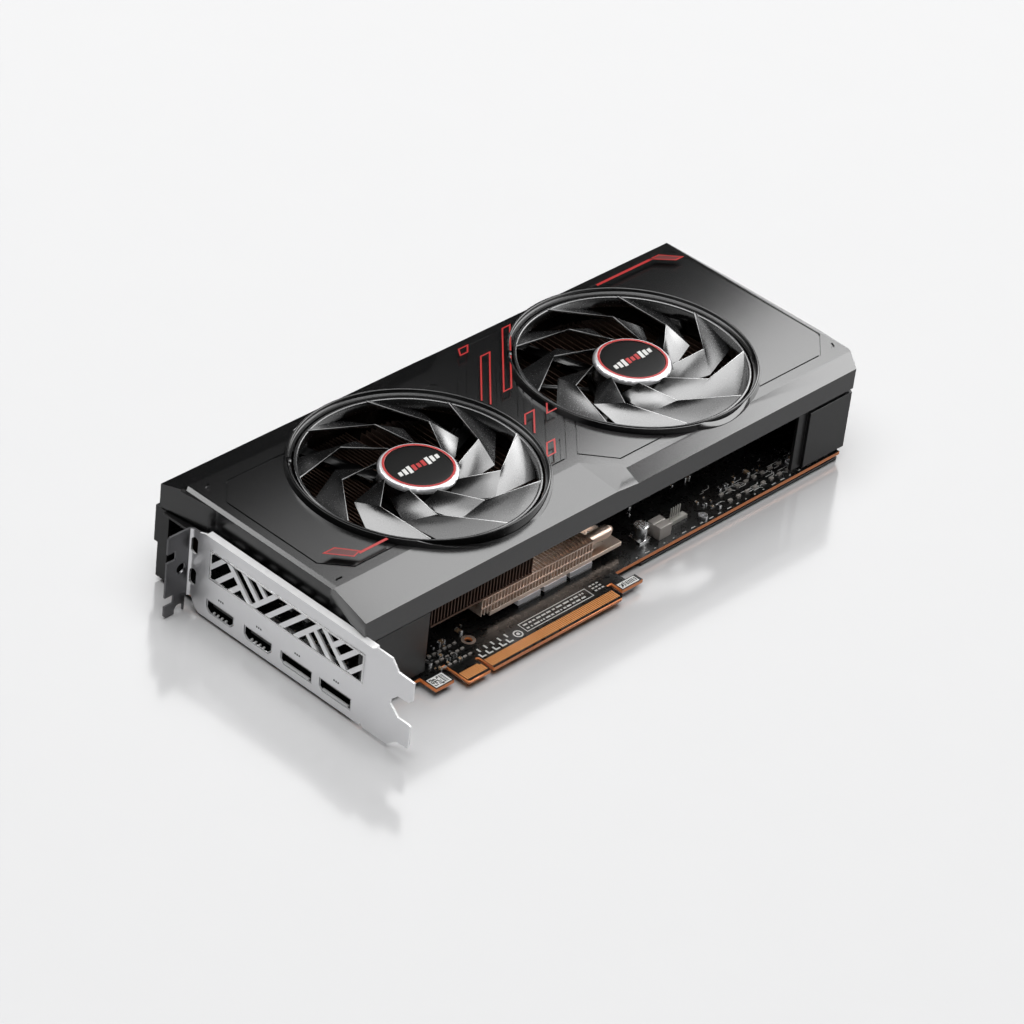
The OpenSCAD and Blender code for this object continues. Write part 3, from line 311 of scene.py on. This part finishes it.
def rounded(node, width, segments, flat_area):
    """Copy of a CAD node with its facets merged and its edges rounded; it replaces the node.

    Faces larger than flat_area (square millimetres) count as large.
    """
    mesh = nodes[node].data.copy()
    bm = bmesh.new()
    bm.from_mesh(mesh)
    bmesh.ops.remove_doubles(bm, verts=bm.verts, dist=MERGE_GAP)
    bmesh.ops.dissolve_limit(bm, angle_limit=math.radians(MERGE_BELOW), verts=bm.verts,
                             edges=bm.edges)
    for edge in bm.edges:
        small = min((f.calc_area() for f in edge.link_faces), default=0)
        bent = edge.calc_face_angle(0) > math.radians(CREASE_ABOVE)
        edge.smooth = not (small > flat_area * MM * MM and bent)
    bm.to_mesh(mesh)
    bm.free()
    mesh.materials.clear()
    obj = new_object(node + "_body", mesh, body_of[node], look_of(node))
    for p in mesh.polygons:
        p.use_smooth = True
    if width:
        add_bevel(obj, width, segments, ROUND_ABOVE).use_clamp_overlap = True
    normals = obj.modifiers.new("flat_faces", "WEIGHTED_NORMAL")
    normals.keep_sharp = True
    normals.weight = 100
    apply_modifiers(obj)
    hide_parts(node)
    return obj


def apply_modifiers(obj):
    """Bakes an object's modifiers into its mesh."""
    graph = bpy.context.evaluated_depsgraph_get()
    baked = bpy.data.meshes.new_from_object(obj.evaluated_get(graph))
    obj.modifiers.clear()
    obj.data = baked


class Sheaf:
    """Collects boxes, prisms and strips into one mesh, each face with a material slot."""

    def __init__(self):
        self.bm = bmesh.new()

    def prism(self, outline, z0, z1, slot=0):
        """Upright prism over an outline in millimetres."""
        if area(outline) < 0:
            outline = outline[::-1]
        low = [self.bm.verts.new(Vector((x, y, z0)) * MM) for x, y in outline]
        high = [self.bm.verts.new(Vector((x, y, z1)) * MM) for x, y in outline]
        faces = [self.bm.faces.new(low[::-1]), self.bm.faces.new(high)]
        for i in range(len(outline)):
            j = (i + 1) % len(outline)
            faces.append(self.bm.faces.new((low[i], low[j], high[j], high[i])))
        for f in faces:
            f.material_index = slot

    def box(self, low, high, slot=0):
        """Upright box between two corners in millimetres."""
        (x0, y0, z0), (x1, y1, z1) = low, high
        self.prism([(x0, y0), (x1, y0), (x1, y1), (x0, y1)], z0, z1, slot)

    def ring(self, centre, outer, inner, z0, z1, slot=0, count=64, span=(0, 360)):
        """Flat ring or arc of a ring between two radii."""
        full = span[1] - span[0] >= 360
        steps = count if full else max(3, int(count * (span[1] - span[0]) / 360))
        angles = [math.radians(span[0] + (span[1] - span[0]) * i / steps) for i in range(steps + 1)]
        for a, b in zip(angles, angles[1:]):
            corners = [(centre[0] + r * math.cos(t), centre[1] + r * math.sin(t))
                       for r, t in ((inner, a), (outer, a), (outer, b), (inner, b))]
            self.prism(corners, z0, z1, slot)

    def stroke(self, points, width, z0, z1, slot=0, closed=False):
        """Line of a given width through points, with mitred corners."""
        for outline in stroke_outlines(points, width, closed):
            self.prism(outline, z0, z1, slot)

    def done(self, name, body, *materials, edge=0.0):
        """Makes the object; edge is the width of its rounded edges in millimetres."""
        bmesh.ops.remove_doubles(self.bm, verts=self.bm.verts, dist=1e-9)
        obj = new_object(name, new_mesh(name, self.bm), body, *materials)
        if edge:
            add_bevel(obj, edge, 2, 40)
            apply_modifiers(obj)
        smooth(obj)


def area(outline):
    """Signed area of an outline, positive when it runs anticlockwise."""
    total = 0.0
    for (x0, y0), (x1, y1) in zip(outline, outline[1:] + outline[:1]):
        total += x0 * y1 - x1 * y0
    return total / 2


def stroke_outlines(points, width, closed):
    """Quadrilaterals of a mitred line, one for each stretch."""
    pts = [Vector(p) for p in points]
    count = len(pts)
    sides = []
    for i, p in enumerate(pts):
        before = pts[i - 1] if closed or i else None
        after = pts[(i + 1) % count] if closed or i < count - 1 else None
        ways = [(p - before).normalized()] if before is not None else []
        ways += [(after - p).normalized()] if after is not None else []
        along = (ways[0] + ways[-1]).normalized()
        normal = Vector((-along.y, along.x))
        reach = width / 2 / max(0.35, abs(normal.dot(Vector((-ways[0].y, ways[0].x)))))
        sides.append((p + normal * reach, p - normal * reach))
    stretches = range(count if closed else count - 1)
    return [[tuple(sides[i][0]), tuple(sides[i][1]), tuple(sides[(i + 1) % count][1]),
             tuple(sides[(i + 1) % count][0])] for i in stretches]


# ------------------------------------------------------------------ carried-over CAD nodes

# Width of the rounded edges in millimetres, and their segments
ROUNDED = {
    "shroud": (0.35, 2), "front_fan_frame": (0, 1), "rear_fan_frame": (0, 1),
    "front_trim_ring": (0, 1), "rear_trim_ring": (0, 1), "io_bracket": (0.12, 2),
    "io_end_cover": (0.4, 2), "far_end_cover": (0.4, 2), "backplate": (0.25, 2),
    "hdmi_shells": (0.1, 1), "displayport_shells": (0.1, 1), "power_sockets": (0.2, 1),
    "can_capacitors": (0.25, 2), "inductors": (0.3, 2), "choke_block": (0.5, 2),
    "memory_chips": (0.12, 1), "heat_pipes": (0.2, 2), "cold_plate": (0.2, 1),
    "spring_bracket": (0.15, 1), "circuit_board": (0, 1), "pin_header": (0.08, 1),
}


LARGE_FACE = 6  # square millimetres
LARGE_RING_FACE = 0.5  # the same for the bright rings, whose faces are small


def dress_cad_nodes():
    """Materials for every node, and a rounded copy of those in ROUNDED."""
    for name, obj in nodes.items():
        wear(obj, look_of(name))
        smooth(obj)
    for name, (width, segments) in ROUNDED.items():
        rounded(name, width, segments, LARGE_RING_FACE if "trim_ring" in name else LARGE_FACE)


# ------------------------------------------------------------------ fans

BLADES = 9
REST_TURN = {"front": 38.2, "rear": 17.7}  # angle of the first blade at rest (degrees)
# Corners of a blade as radius, angle and height, at the hub, the crease and the ring
LEAD = [(16.2, -25.6, 47.9), (31.7, 0, 47.9), (47, 33, 47.9)]
TRAIL = [(15.2, -57, 40.2), (31.7, -23, 43.5), (47, 6, 41.6)]
BLADE_T = 1.0  # thickness at the leading edge
EDGE_THINNER = 0.45  # share of the thickness lost at the trailing edge
INNER_STEPS, OUTER_STEPS = 6, 8  # rows of faces on either side of the crease
RING_CLEAR = 16.15  # radius that clears the bright ring
RING_FOOT_Z = 45.8  # height from which the bright ring is in the way


def around(corner, turn):
    """Point at a radius, angle and height, turned about the fan's axis."""
    radius, angle, z = corner
    angle = math.radians(angle + turn)
    return Vector((radius * math.cos(angle), radius * math.sin(angle), z))


def blade_point(facet, span, chord, turn):
    """Point of a blade's upper side: span runs over one facet, chord from leading to trailing edge.

    Near the hub it stays clear of the bright ring.
    """
    if facet == 1 and span == 1:
        corner = [a + (b - a) * chord for a, b in zip(LEAD[2], TRAIL[2])]
        return around(corner, turn)
    lead = around(LEAD[facet], turn).lerp(around(LEAD[facet + 1], turn), span)
    trail = around(TRAIL[facet], turn).lerp(around(TRAIL[facet + 1], turn), span)
    point = lead.lerp(trail, chord)
    radius = math.hypot(point.x, point.y)
    if point.z > RING_FOOT_Z and radius < RING_CLEAR:
        point.x *= RING_CLEAR / radius
        point.y *= RING_CLEAR / radius
    return point


def add_blade(bm, turn, centre):
    """Two facets that meet in a sharp crease, with a rounded leading edge; the faces along the
    leading edge are painted light grey as a painted highlight.
    """
    chords = [0, 0.008, 0.03, 0.06, 0.2, 0.36, 0.52, 0.68, 0.84, 1.0]
    drops = [0.28, 0.1, 0.02, 0.0]
    steps = [(0, i / INNER_STEPS) for i in range(INNER_STEPS + 1)]
    steps += [(1, i / OUTER_STEPS) for i in range(1, OUTER_STEPS + 1)]
    grid = []
    for under in (False, True):
        rows = []
        for facet, span in steps:
            row = []
            for j, chord in enumerate(chords):
                drop = drops[j] if j < len(drops) else 0
                thick = BLADE_T * (1 - EDGE_THINNER * chord)
                point = blade_point(facet, span, chord, turn)
                point.z -= thick - drop if under else drop
                row.append(bm.verts.new((centre + point) * MM))
            rows.append(row)
        grid.append(rows)
    top, low = grid
    rows, cols = len(steps), len(chords)
    for i in range(rows - 1):
        for j in range(cols - 1):
            face = bm.faces.new((top[i][j], top[i][j + 1], top[i + 1][j + 1], top[i + 1][j]))
            # The two rows at the leading edge take the lighter grey: painted highlight.
            face.material_index = 1 if j < 2 else 0
            bm.faces.new((low[i][j], low[i + 1][j], low[i + 1][j + 1], low[i][j + 1]))
        for j in (0, cols - 1):
            bm.faces.new((top[i][j], top[i + 1][j], low[i + 1][j], low[i][j]))
    for j in range(cols - 1):
        for i in (0, rows - 1):
            bm.faces.new((top[i][j], top[i][j + 1], low[i][j + 1], low[i][j]))
    for side in (top, low):
        crease = side[INNER_STEPS]
        for a, b in zip(crease, crease[1:]):
            bm.edges.get((a, b)).smooth = False


def lathe(bm, profile, centre, count=128):
    """Closed profile in radius and height (millimetres), turned about a fan's axis."""
    rings = []
    for k in range(count):
        a = 2 * math.pi * k / count
        rings.append([bm.verts.new((centre + Vector((r * math.cos(a), r * math.sin(a), z))) * MM)
                      for r, z in profile])
    size = len(profile)
    for k in range(count):
        here, there = rings[k], rings[(k + 1) % count]
        for i in range(size):
            j = (i + 1) % size
            bm.faces.new((here[i], there[i], there[j], here[j]))


def build_rotor(fan, turn):
    """Fine blades with a crease, the outer ring and the hub cup."""
    bm = bmesh.new()
    centre = Vector((fan_x[fan] / MM, 0, 0))
    for i in range(BLADES):
        add_blade(bm, turn + i * 360 / BLADES, centre)
    lathe(bm, [(46.6, 42.8), (46.8, 42.6), (47.8, 42.6), (48.0, 42.8), (48.0, 47.2),
               (47.8, 47.4), (46.8, 47.4), (46.6, 47.2)], centre)
    lathe(bm, [(15.0, 38.2), (15.6, 38.2), (15.8, 38.5), (15.8, 45.95), (15.35, 45.95),
               (15.35, 46.38), (1.6, 46.38), (1.6, 45.2), (15.0, 45.2)], centre)
    bmesh.ops.recalc_face_normals(bm, faces=bm.faces)
    for edge in bm.edges:
        if edge.calc_face_angle(0) > math.radians(50):
            edge.smooth = False
    mesh = new_mesh(fan + "_rotor_fine", bm)
    # Second material: the painted highlight on the leading edges.
    rotor = new_object(fan + "_rotor_fine", mesh, FANS[fan], MATS["blade"], MATS["blade_edge_highlight"])
    for p in mesh.polygons:
        p.use_smooth = True
    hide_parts(fan + "_rotor")


def turned_piece(fan, name, profile, material):
    """Turned piece on a fan's hub."""
    bm = bmesh.new()
    lathe(bm, profile, Vector((fan_x[fan] / MM, 0, 0)))
    bmesh.ops.recalc_face_normals(bm, faces=bm.faces)
    piece = new_object(fan + name, new_mesh(fan + name, bm), FANS[fan], MATS[material])
    smooth(piece)
    return piece


BADGE_R, BADGE_Z, DOME_RISE = 13.2, 48.05, 0.3
BAR_HEIGHTS = [2.4, 3.4, 4.4, 3.4, 2.6, 3.4, 4.4, 3.4, 2.4]
BAR_PITCH, BAR_HALF, BAR_LEAN = 2.45, 0.85, 0.14
RED_BARS = (3, 4, 5)


def build_badge(fan):
    """Domed black badge with a red ring and a generic pattern of bars."""
    dome = [(BADGE_R * math.cos(math.radians(a)), BADGE_Z + DOME_RISE * math.sin(math.radians(a)))
            for a in range(0, 91, 10)]
    badge = turned_piece(fan, "_badge_dome", [(0.02, 46.5), (BADGE_R, 46.5)] + dome[:-1]
                         + [(0.02, 48.35)], "badge")
    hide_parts(fan + "_hub_badge")
    turned_piece(fan, "_red_ring", [(13.35, 48.2), (14.35, 48.2), (14.35, 48.34), (14.25, 48.4),
                                    (13.45, 48.4), (13.35, 48.34)], "red")
    marks = Sheaf()
    for i, h in enumerate(BAR_HEIGHTS):
        x = fan_x[fan] / MM + (i - 4) * BAR_PITCH
        lean = h * BAR_LEAN
        marks.prism([(x - BAR_HALF - lean, -h / 2), (x + BAR_HALF - lean, -h / 2),
                     (x + BAR_HALF + lean, h / 2), (x - BAR_HALF + lean, h / 2)],
                    48.2, 48.42, 1 if i in RED_BARS else 0)
    marks.done(fan + "_badge_mark", FANS[fan], MATS["ink"], MATS["red"])


# ------------------------------------------------------------------ deck graphics

def deck_print():
    """Red outlines printed on the deck, with their tinted insides."""
    z = deck_z / MM
    top = z + DECK_INK_T
    sheaf = Sheaf()
    corner_marks = [
        [(-130, -19.7), (-124.5, -19.7), (-118.5, -26.9), (-122.5, -28)],
        [(120.5, 45.5 + 0.3), (125.5, 45.5 + 0.3), (132.5, 38.8), (128.5, 38.8)],
    ]
    for points in corner_marks:
        sheaf.prism(points, z, z + 0.02, 1)
        sheaf.stroke(points, 0.6, z, top, closed=True)
    sheaf.stroke([(-119.5, -27.7), (-104.8, -27.7)], 1.2, z, top)
    sheaf.stroke([(87.5, 45.5), (121.5, 45.5)], 1.2, z, top)
    for points, closed in stripe_outlines():
        sheaf.stroke(points, 0.65, z, top, closed=closed)
    sheaf.done("deck_print", CARD, MATS["red"], MATS["pink"])


def diagonal(k, y):
    """Point of the line y = x + k at a height y."""
    return (y - k, y)


def ring_cut(k, centre_x, side):
    """Where the line y = x + k meets a fan's lip; side (-1 or 1) picks the crossing."""
    # (x - c)^2 + (x + k)^2 = r^2
    c, r = centre_x, LIP_R
    a, b, d = 2, 2 * (k - c), c * c + k * k - r * r
    root = math.sqrt(b * b - 4 * a * d)
    x = (-b + side * root) / (2 * a)
    return (x, x + k)


def stripe_outlines():
    """Slanted red frames of the middle panel; those that a fan cuts are left open there."""
    front, rear = fan_x["front"] / MM, fan_x["rear"] / MM
    return [
        ([(5.5, 43), (9.5, 43), (13, 46.5), (8, 46.5)], True),
        ([diagonal(13.5, 14.3), diagonal(9.2, 14.3), diagonal(9.2, 46.5), diagonal(13.5, 46.5)],
         True),
        ([ring_cut(26, front, 1), (11.5, 37.5), (16.5, 37.5), ring_cut(21, front, 1)], False),
        ([ring_cut(2, front, 1), (-4, -2), (1, -2), ring_cut(-3, front, 1)], False),
        ([ring_cut(-10.3, rear, -1), (3.6, -6.7), (8.6, -6.7), ring_cut(-15.3, rear, -1)], False),
        ([(-18, -27.5), (-13.5, -27.5), (-7.3, -21), (-11.5, -21)], True),
    ]


# ------------------------------------------------------------------ board details

def board_print():
    """Generic silkscreen: part outlines, rows of dashes, circles; white on the black mask."""
    z = board_top / MM
    top = z + INK_T
    sheaf = Sheaf()
    sheaf.stroke([(-58, -61.8), (-21, -61.8), (-21, -56.6), (-58, -56.6)], 0.35, z, top,
                 closed=True)
    for y in (-60.7, -58.6):
        x = -56.8
        while x < -24:
            run = random.choice([0.8, 1.4, 2.2, 3.0])
            sheaf.box((x, y, z), (x + run, y + 0.8, top))
            x += run + random.choice([0.6, 0.9])
    sheaf.ring((-62, -60.6), 2.1, 1.5, z, top, count=28)
    sheaf.ring((-62, -60.6), 0.8, 0, z, top, count=28)
    for i in range(5):
        x = -83.5 + i * 3.7
        sheaf.box((x, -62.6, z), (x + 2.5, -61.9, top))
        sheaf.box((x, -61.9, z), (x + 0.8, -60.2, top))
        sheaf.box((x + 1.7, -59.6, z), (x + 2.5, -57.4, top))
    for i in range(9):
        x = -18.5 + (i % 3) * 1.9
        y = -60.5 + (i // 3) * 1.7
        sheaf.box((x, y, z), (x + 1.2, y + 0.7, top))
    for i in range(34):
        x, y = random.uniform(62, 112), random.uniform(-54, -40)
        run, bend = random.uniform(1.5, 6), random.choice([-1.5, -0.8, 0.8, 1.5])
        sheaf.stroke([(x, y), (x + run, y), (x + run + abs(bend), y + bend)], 0.3, z, top)
    for i in range(22):
        x = 10 + i * 5.4
        sheaf.box((x, -55.6, z), (x + random.choice([0.8, 1.6, 2.4]), -55.2, top))
    sheaf.done("board_print", CARD, MATS["ink"])


def board_labels():
    """Two white labels with a generic block code and bars."""
    sheaf = Sheaf()
    z = board_top / MM
    ink_low, ink_high = z + 0.05, z + 0.085
    cell = 0.42
    for x0, y0, w, h in ((-110.4, -64.9, 8.2, 5.6), (-9.0, -66.0, 9.6, 3.4)):
        sheaf.box((x0, y0, z), (x0 + w, y0 + h, z + 0.06), 0)
        cells = int(h / cell) - 2
        for i in range(cells):
            for j in range(cells):
                if random.random() < 0.5:
                    cx, cy = x0 + 0.5 + i * cell, y0 + 0.4 + j * cell
                    sheaf.box((cx, cy, ink_low), (cx + cell, cy + cell, ink_high), 1)
        bx = x0 + 0.9 + cells * cell
        while bx < x0 + w - 0.8:
            bar = random.choice([0.2, 0.35, 0.5])
            sheaf.box((bx, y0 + 0.6, ink_low), (bx + bar, y0 + h - 0.6, ink_high), 1)
            bx += bar + 0.35
    sheaf.done("board_labels", CARD, MATS["label"], MATS["label_ink"])


def chip(sheaf, x, y, length, width, height, along_x=True, slot=0):
    """Small part with tinned ends, each 22 percent of its length."""
    z = board_top / MM
    dx, dy = (length, width) if along_x else (width, length)
    end = length * 0.22
    ex, ey = (end, 0) if along_x else (0, end)
    sheaf.box((x + ex, y + ey, z), (x + dx - ex, y + dy - ey, z + height), slot)
    for sx, sy, tx, ty in ((0, 0, ex or dx, ey or dy), (dx - (ex or dx), dy - (ey or dy), dx, dy)):
        sheaf.box((x + sx, y + sy, z), (x + tx, y + ty, z + height + 0.03), 1)


# Areas of the board with small parts: x and y ranges in millimetres, and how many are tried
PART_FIELDS = [(-104, -86, -59.5, -43, 62), (-84, -70, -47, -40, 14), (56, 66, -54, -39, 26),
               (68, 104, -46, -39, 50), (106, 118, -54, -39, 30), (-104, -70, 5, 45, 60),
               (-134, -124, -38, 38, 50), (28, 70, -40, 34, 70)]
# Length, width and height of the small parts
PART_SIZES = [(1.0, 0.5, 0.4), (1.6, 0.8, 0.5), (2.0, 1.2, 0.8), (3.2, 1.6, 1.1)]


def board_parts():
    """Hundreds of small parts in the places that the cooler leaves open, none over another."""
    sheaf = Sheaf()
    for x0, x1, y0, y1, count in PART_FIELDS:
        taken = []
        for _ in range(count):
            size = random.choice(PART_SIZES)
            x = round(random.uniform(x0, x1 - 3.2) * 2) / 2
            y = round(random.uniform(y0, y1 - 3.2) * 2) / 2
            if any(abs(x - a) < 3.4 and abs(y - b) < 2.0 for a, b in taken):
                continue
            taken.append((x, y))
            chip(sheaf, x, y, *size, along_x=random.random() < 0.5,
                 slot=random.choice([0, 0, 2]))
    sheaf.done("board_parts", CARD, MATS["ceramic"], MATS["tin"], MATS["epoxy"], edge=0.05)


def board_edge():
    """Bare laminate on the board's cut edges."""
    obj = bpy.data.objects["circuit_board_body"]
    wear(obj, MATS["mask"], MATS["edge"])
    for p in obj.data.polygons:
        if abs(p.normal.z) < 0.5:
            p.material_index = 1


def paint_socket_shade():
    """Paints shade inside the display sockets: their inner walls and their faces behind the mouth
    get a near-black material as painted shade.
    """
    for name in ("hdmi_shells_body", "displayport_shells_body"):
        mesh = bpy.data.objects[name].data
        mesh.materials.append(MATS["dark"])
        mouth = min(v.co.x for v in mesh.vertices)
        middle_z = (min(v.co.z for v in mesh.vertices) + max(v.co.z for v in mesh.vertices)) / 2
        for p in mesh.polygons:
            port_y = min((y * MM for y in PORT_Y), key=lambda y: abs(y - p.center.y))
            to_middle = Vector((0, port_y - p.center.y, middle_z - p.center.z))
            wall = abs(p.normal.x) < 0.5 and p.center.x > mouth
            inner_wall = wall and to_middle.dot(p.normal) > 0
            inner_face = p.normal.x < -0.5 and p.center.x > mouth + 1.5 * MM
            # Inner walls and hidden faces take the near-black material: painted shade.
            if inner_wall or inner_face:
                p.material_index = 1


def paint_bracket_light_and_shade():
    """The bracket's bent tab gets a darker copy of its steel as painted shade, and its upward faces
    a lighter copy as painted highlight.
    """
    mesh = bpy.data.objects["io_bracket_body"].data
    mesh.materials.append(MATS["tab"])
    mesh.materials.append(MATS["flange"])
    for p in mesh.polygons:
        # The bent tab takes the darker copy: painted shade.
        if p.center.x < BRACKET_X - 0.9 * MM:
            p.material_index = 1
        # Upward faces take the lighter copy: painted highlight.
        elif p.normal.z > 0.3:
            p.material_index = 2


VENT_Y, VENT_Z, VENT_RIM = (-59.7, 23.3), (20.0, 33.4), 0.8  # frame round the bracket's vents


def bracket_marks():
    """Raised frame round the bracket's vents, a small generic mark above each socket, and bright
    bars in its mouth: the shell edge and springs, in the lighter steel as a painted highlight."""
    face = BRACKET_X / MM
    sheaf = Sheaf()
    (y0, y1), (z0, z1), rim = VENT_Y, VENT_Z, VENT_RIM
    for low, high in (((y0, z0), (y1, z0 + rim)), ((y0, z1 - rim), (y1, z1)),
                      ((y0, z0 + rim), (y0 + rim, z1 - rim)),
                      ((y1 - rim, z0 + rim), (y1, z1 - rim))):
        sheaf.box((face - 0.3, *low), (face + 0.05, *high))
    for i, y in enumerate(PORT_Y):
        for k in range(3):
            sheaf.box((face - 0.03, y - 1.5 + k * 1.1, 12.7),
                      (face + 0.05, y - 0.8 + k * 1.1, 13.5), 1)
        # Bars in the socket mouth where the shell edge and springs sit, in the lighter steel: real
        # metal with a painted highlight.
        if i < 2:
            for k in range(4):
                sheaf.box((face + 0.1, y - 3.5 + k * 2.2, 5.0),
                          (face + 1, y - 2.7 + k * 2.2, 5.7), 2)
        else:
            sheaf.box((face + 0.1, y - 6.8, 5.0), (face + 1, y + 6.8, 5.7), 2)
    sheaf.done("bracket_marks", CARD, MATS["can"], MATS["label_ink"], MATS["flange"], edge=0.14)


# ------------------------------------------------------------------ stage

def area_light(name, target, direction, distance, size, radiance, spin=0, gloss=True,
               diffuse=True):
    """Soft panel of a (width, height), aimed at a target from an (azimuth, elevation)."""
    azimuth, elevation = (math.radians(v) for v in direction)
    offset = Vector((math.cos(azimuth) * math.cos(elevation),
                     math.sin(azimuth) * math.cos(elevation), math.sin(elevation)))
    data = bpy.data.lights.new(name, "AREA")
    data.shape = "RECTANGLE"
    data.size, data.size_y = size
    data.energy = radiance * size[0] * size[1] * math.pi
    light = bpy.data.objects.new(name, data)
    bpy.context.scene.collection.objects.link(light)
    light.location = Vector(target) + offset * distance
    facing = offset.to_track_quat("Z", "Y").to_matrix()
    light.rotation_euler = (facing @ Matrix.Rotation(math.radians(spin), 3, "Z")).to_euler()
    light.visible_camera = False
    light.visible_glossy = gloss
    light.visible_diffuse = diffuse
    return light


def link_light(light, obj, state):
    """Makes a light reach only one object (INCLUDE), or everything but it (EXCLUDE)."""
    group = bpy.data.collections.new(light.name + "_receivers")
    group.objects.link(obj)
    group.collection_objects[0].light_linking.link_state = state
    light.light_linking.receiver_collection = group


CENTRE = (0, 0, 0.03)
# Panels that only the card mirrors: name, target, (azimuth, elevation), distance,
# (width, height), radiance and spin
PANELS = [
    ("key_panel", CENTRE, (-22, 25), 0.5, (0.6, 0.4), 7.0, -15),
    ("deck_panel", (0.1745, 0.046, 0), (0, 90), 0.19, (0.42, 0.12), 4.7, 10),
    ("deck_glow", (0.025, 0.11, 0), (0, 90), 0.19, (0.17, 0.08), 1.1, 0),
    ("back_panel", CENTRE, (106, 48), 0.9, (0.55, 0.5), 7.0, 0),
    ("top_panel", CENTRE, (0, 88), 1.2, (1.0, 1.0), 3.0, 0),
    ("front_panel", CENTRE, (-140, 50), 1.5, (1.0, 0.8), 0.85, 0),
]
FLOOR_HALF, FLOOR_Z = 6, -0.0004
WORLD_COLOUR, WORLD_STRENGTH = (0.93, 0.95, 1.0, 1), 0.015


def build_stage():
    """Pale floor and studio light: a matt fill for everything, mirrored panels for the card, and
    a mirrored sky for the floor."""
    bm = bmesh.new()
    h = FLOOR_HALF
    corners = [bm.verts.new((x, y, FLOOR_Z)) for x, y in ((-h, -h), (h, -h), (h, h), (-h, h))]
    bm.faces.new(corners)
    mesh = new_mesh("floor", bm)
    floor = bpy.data.objects.new("floor", mesh)
    bpy.context.scene.collection.objects.link(floor)
    mesh.materials.append(surface("floor_gloss", (0.6, 0.6, 0.605), (0.61, 0.61, 0.615),
                                  (0.12, 0.16), grain=60, relief=0, spec=0.9))
    world = bpy.data.worlds.new("studio")
    world.use_nodes = True
    background = world.node_tree.nodes["Background"]
    background.inputs["Color"].default_value = WORLD_COLOUR
    background.inputs["Strength"].default_value = WORLD_STRENGTH
    bpy.context.scene.world = world
    area_light("fill", CENTRE, (200, 86), 2.4, (2.6, 2.6), 3.9, gloss=False)
    sky = area_light("sky", CENTRE, (40, 40), 2.5, (6, 6), 3.0, diffuse=False)
    link_light(sky, floor, "INCLUDE")
    panels = [area_light(*panel, diffuse=False) for panel in PANELS]
    for panel in panels:
        link_light(panel, floor, "EXCLUDE")


CAMERA_ANGLES = (-49.772, 35.064, 6.823)  # azimuth from -Y, elevation and roll (degrees)
CAMERA_PLACE = (-1.08928, -0.91934, 0.99984)
CAMERA_LENS, CAMERA_SENSOR = 154.04, 36  # millimetres


def build_camera():
    """Camera at the viewing angle."""
    azimuth, elevation, roll = (math.radians(v) for v in CAMERA_ANGLES)
    back = Vector((math.sin(azimuth) * math.cos(elevation),
                   -math.cos(azimuth) * math.cos(elevation), math.sin(elevation)))
    level = Vector((0, 0, 1)).cross(back).normalized()
    right = level * math.cos(roll) + back.cross(level) * math.sin(roll)
    up = back.cross(right)
    data = bpy.data.cameras.new("camera")
    data.lens = CAMERA_LENS
    data.sensor_width = CAMERA_SENSOR
    data.clip_start = 0.05
    data.clip_end = 20
    camera = bpy.data.objects.new("camera", data)
    bpy.context.scene.collection.objects.link(camera)
    turn = Matrix((right, up, back)).transposed().to_4x4()
    camera.matrix_world = Matrix.Translation(CAMERA_PLACE) @ turn
    bpy.context.scene.camera = camera


# ------------------------------------------------------------------ build

dress_cad_nodes()
for fan, turn in REST_TURN.items():
    build_rotor(fan, turn)
    build_badge(fan)
deck_print()
board_print()
board_labels()
board_parts()
board_edge()
paint_socket_shade()
paint_bracket_light_and_shade()
bracket_marks()
build_stage()
build_camera()
bpy.context.scene.view_settings.view_transform = "Standard"
